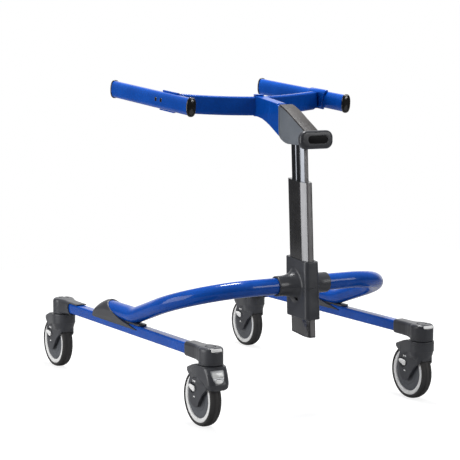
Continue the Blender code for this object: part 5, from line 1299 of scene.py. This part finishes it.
def whiteToEye(tree, plain, bright, share):
    # the eye sees the white sweep; gloss and glass see it too, gloss only by its share of it
    path = newNode(tree, "LightPath")
    glossy = newNode(tree, "Math", operation="MULTIPLY")
    mirrorOrGlass = newNode(tree, "Math", operation="MAXIMUM")
    seen = newNode(tree, "Math", operation="MAXIMUM")
    tree.links.new(path.outputs["Is Glossy Ray"], glossy.inputs[0])
    if isinstance(share, float):
        glossy.inputs[1].default_value = share
    else:
        tree.links.new(share, glossy.inputs[1])
    tree.links.new(glossy.outputs[0], mirrorOrGlass.inputs[0])
    tree.links.new(path.outputs["Is Transmission Ray"], mirrorOrGlass.inputs[1])
    tree.links.new(path.outputs["Is Camera Ray"], seen.inputs[0])
    tree.links.new(mirrorOrGlass.outputs[0], seen.inputs[1])
    mix = newNode(tree, "MixShader")
    tree.links.new(seen.outputs[0], mix.inputs[0])
    tree.links.new(plain, mix.inputs[1])
    tree.links.new(bright, mix.inputs[2])
    return mix.outputs[0]


def buildWorld():
    world = bpy.data.worlds.new("studio")
    bpy.context.scene.world = world
    world.use_nodes = True
    tree = world.node_tree
    link = tree.links.new
    where = newNode(tree, "TexCoord")
    split = newNode(tree, "SeparateXYZ")
    link(where.outputs["Generated"], split.inputs[0])
    fade = newNode(tree, "MapRange")
    for socket, key in (("From Max", "rise"), ("To Min", "low"), ("To Max", "high")):
        fade.inputs[socket].default_value = studio[key]
    link(split.outputs["Z"], fade.inputs["Value"])
    soft = tree.nodes["Background"]
    soft.inputs["Color"].default_value = (1.0, 1.0, 1.0, 1.0)
    link(fade.outputs["Result"], soft.inputs["Strength"])
    white = newNode(tree, "Background", {"Strength": 1.0, "Color": (1.0, 1.0, 1.0, 1.0)})
    behind = newNode(tree, "VectorMath", {1: studio["backdrop"]}, operation="DOT_PRODUCT")
    link(where.outputs["Generated"], behind.inputs[0])
    sweep = newNode(tree, "MapRange", {"From Min": studio["edge"][0], "From Max": studio["edge"][1]})
    link(behind.outputs["Value"], sweep.inputs["Value"])
    out = whiteToEye(tree, soft.outputs[0], white.outputs[0], sweep.outputs["Result"])
    link(out, tree.nodes["World Output"].inputs["Surface"])


def buildStudio():
    buildWorld()
    restAll()
    bpy.ops.mesh.primitive_plane_add(size=studio["floorSide"], location=(0.0, 0.0, -0.0004))
    floor = bpy.context.object
    floor.name = "floor"
    pickUp(floor)
    bpy.ops.object.transform_apply(location=True, rotation=True, scale=True)
    paper = bpy.data.materials.new("palePaper")
    paper.use_nodes = True
    tree = paper.node_tree
    shader = tree.nodes["Principled BSDF"]
    shader.inputs["Base Color"].default_value = (*[studio["floor"]] * 3, 1.0)
    shader.inputs["Roughness"].default_value = 0.7
    shader.inputs["Specular IOR Level"].default_value = 0.2
    glow = newNode(tree, "Emission", {"Strength": studio["glow"]})
    dim = newNode(tree, "BsdfDiffuse", {"Color": (*[studio["dim"]] * 3, 1.0)})
    both = newNode(tree, "AddShader")
    tree.links.new(glow.outputs[0], both.inputs[0])
    tree.links.new(dim.outputs[0], both.inputs[1])
    out = whiteToEye(tree, shader.outputs[0], both.outputs[0], studio["mirrored"])
    tree.links.new(out, tree.nodes["Material Output"].inputs["Surface"])
    floor.data.materials.append(paper)

    for name, (spot, aim, size, power) in studio["lamps"].items():
        lamp = bpy.data.lights.new(name, "AREA")
        lamp.shape = "RECTANGLE"
        lamp.size, lamp.size_y = size
        lamp.energy = power
        holder = bpy.data.objects.new(name, lamp)
        bpy.context.scene.collection.objects.link(holder)
        holder.location = spot
        holder.rotation_euler = (Vector(aim) - Vector(spot)).to_track_quat("-Z", "Y").to_euler()


def buildCamera():
    yaw, pitch, roll = 0.5354, 0.1216, 0.0042
    ahead = Vector((math.sin(yaw) * math.cos(pitch), math.cos(yaw) * math.cos(pitch), -math.sin(pitch)))
    level = Vector((math.cos(yaw), -math.sin(yaw), 0.0))
    above = level.cross(ahead)
    across = math.cos(roll) * level + math.sin(roll) * above
    upright = math.cos(roll) * above - math.sin(roll) * level
    lens = bpy.data.cameras.new("photoCamera")
    lens.lens = 129.33
    lens.sensor_width = 36.0
    lens.clip_start = 0.05
    camera = bpy.data.objects.new("photoCamera", lens)
    bpy.context.scene.collection.objects.link(camera)
    camera.matrix_world = axesTo(across, upright, -ahead, (-2.0253, -3.41575, 0.8586))
    bpy.context.scene.camera = camera
    bpy.context.scene.view_settings.view_transform = "Standard"


buildStudio()
buildCamera()
print("studio and camera are set")
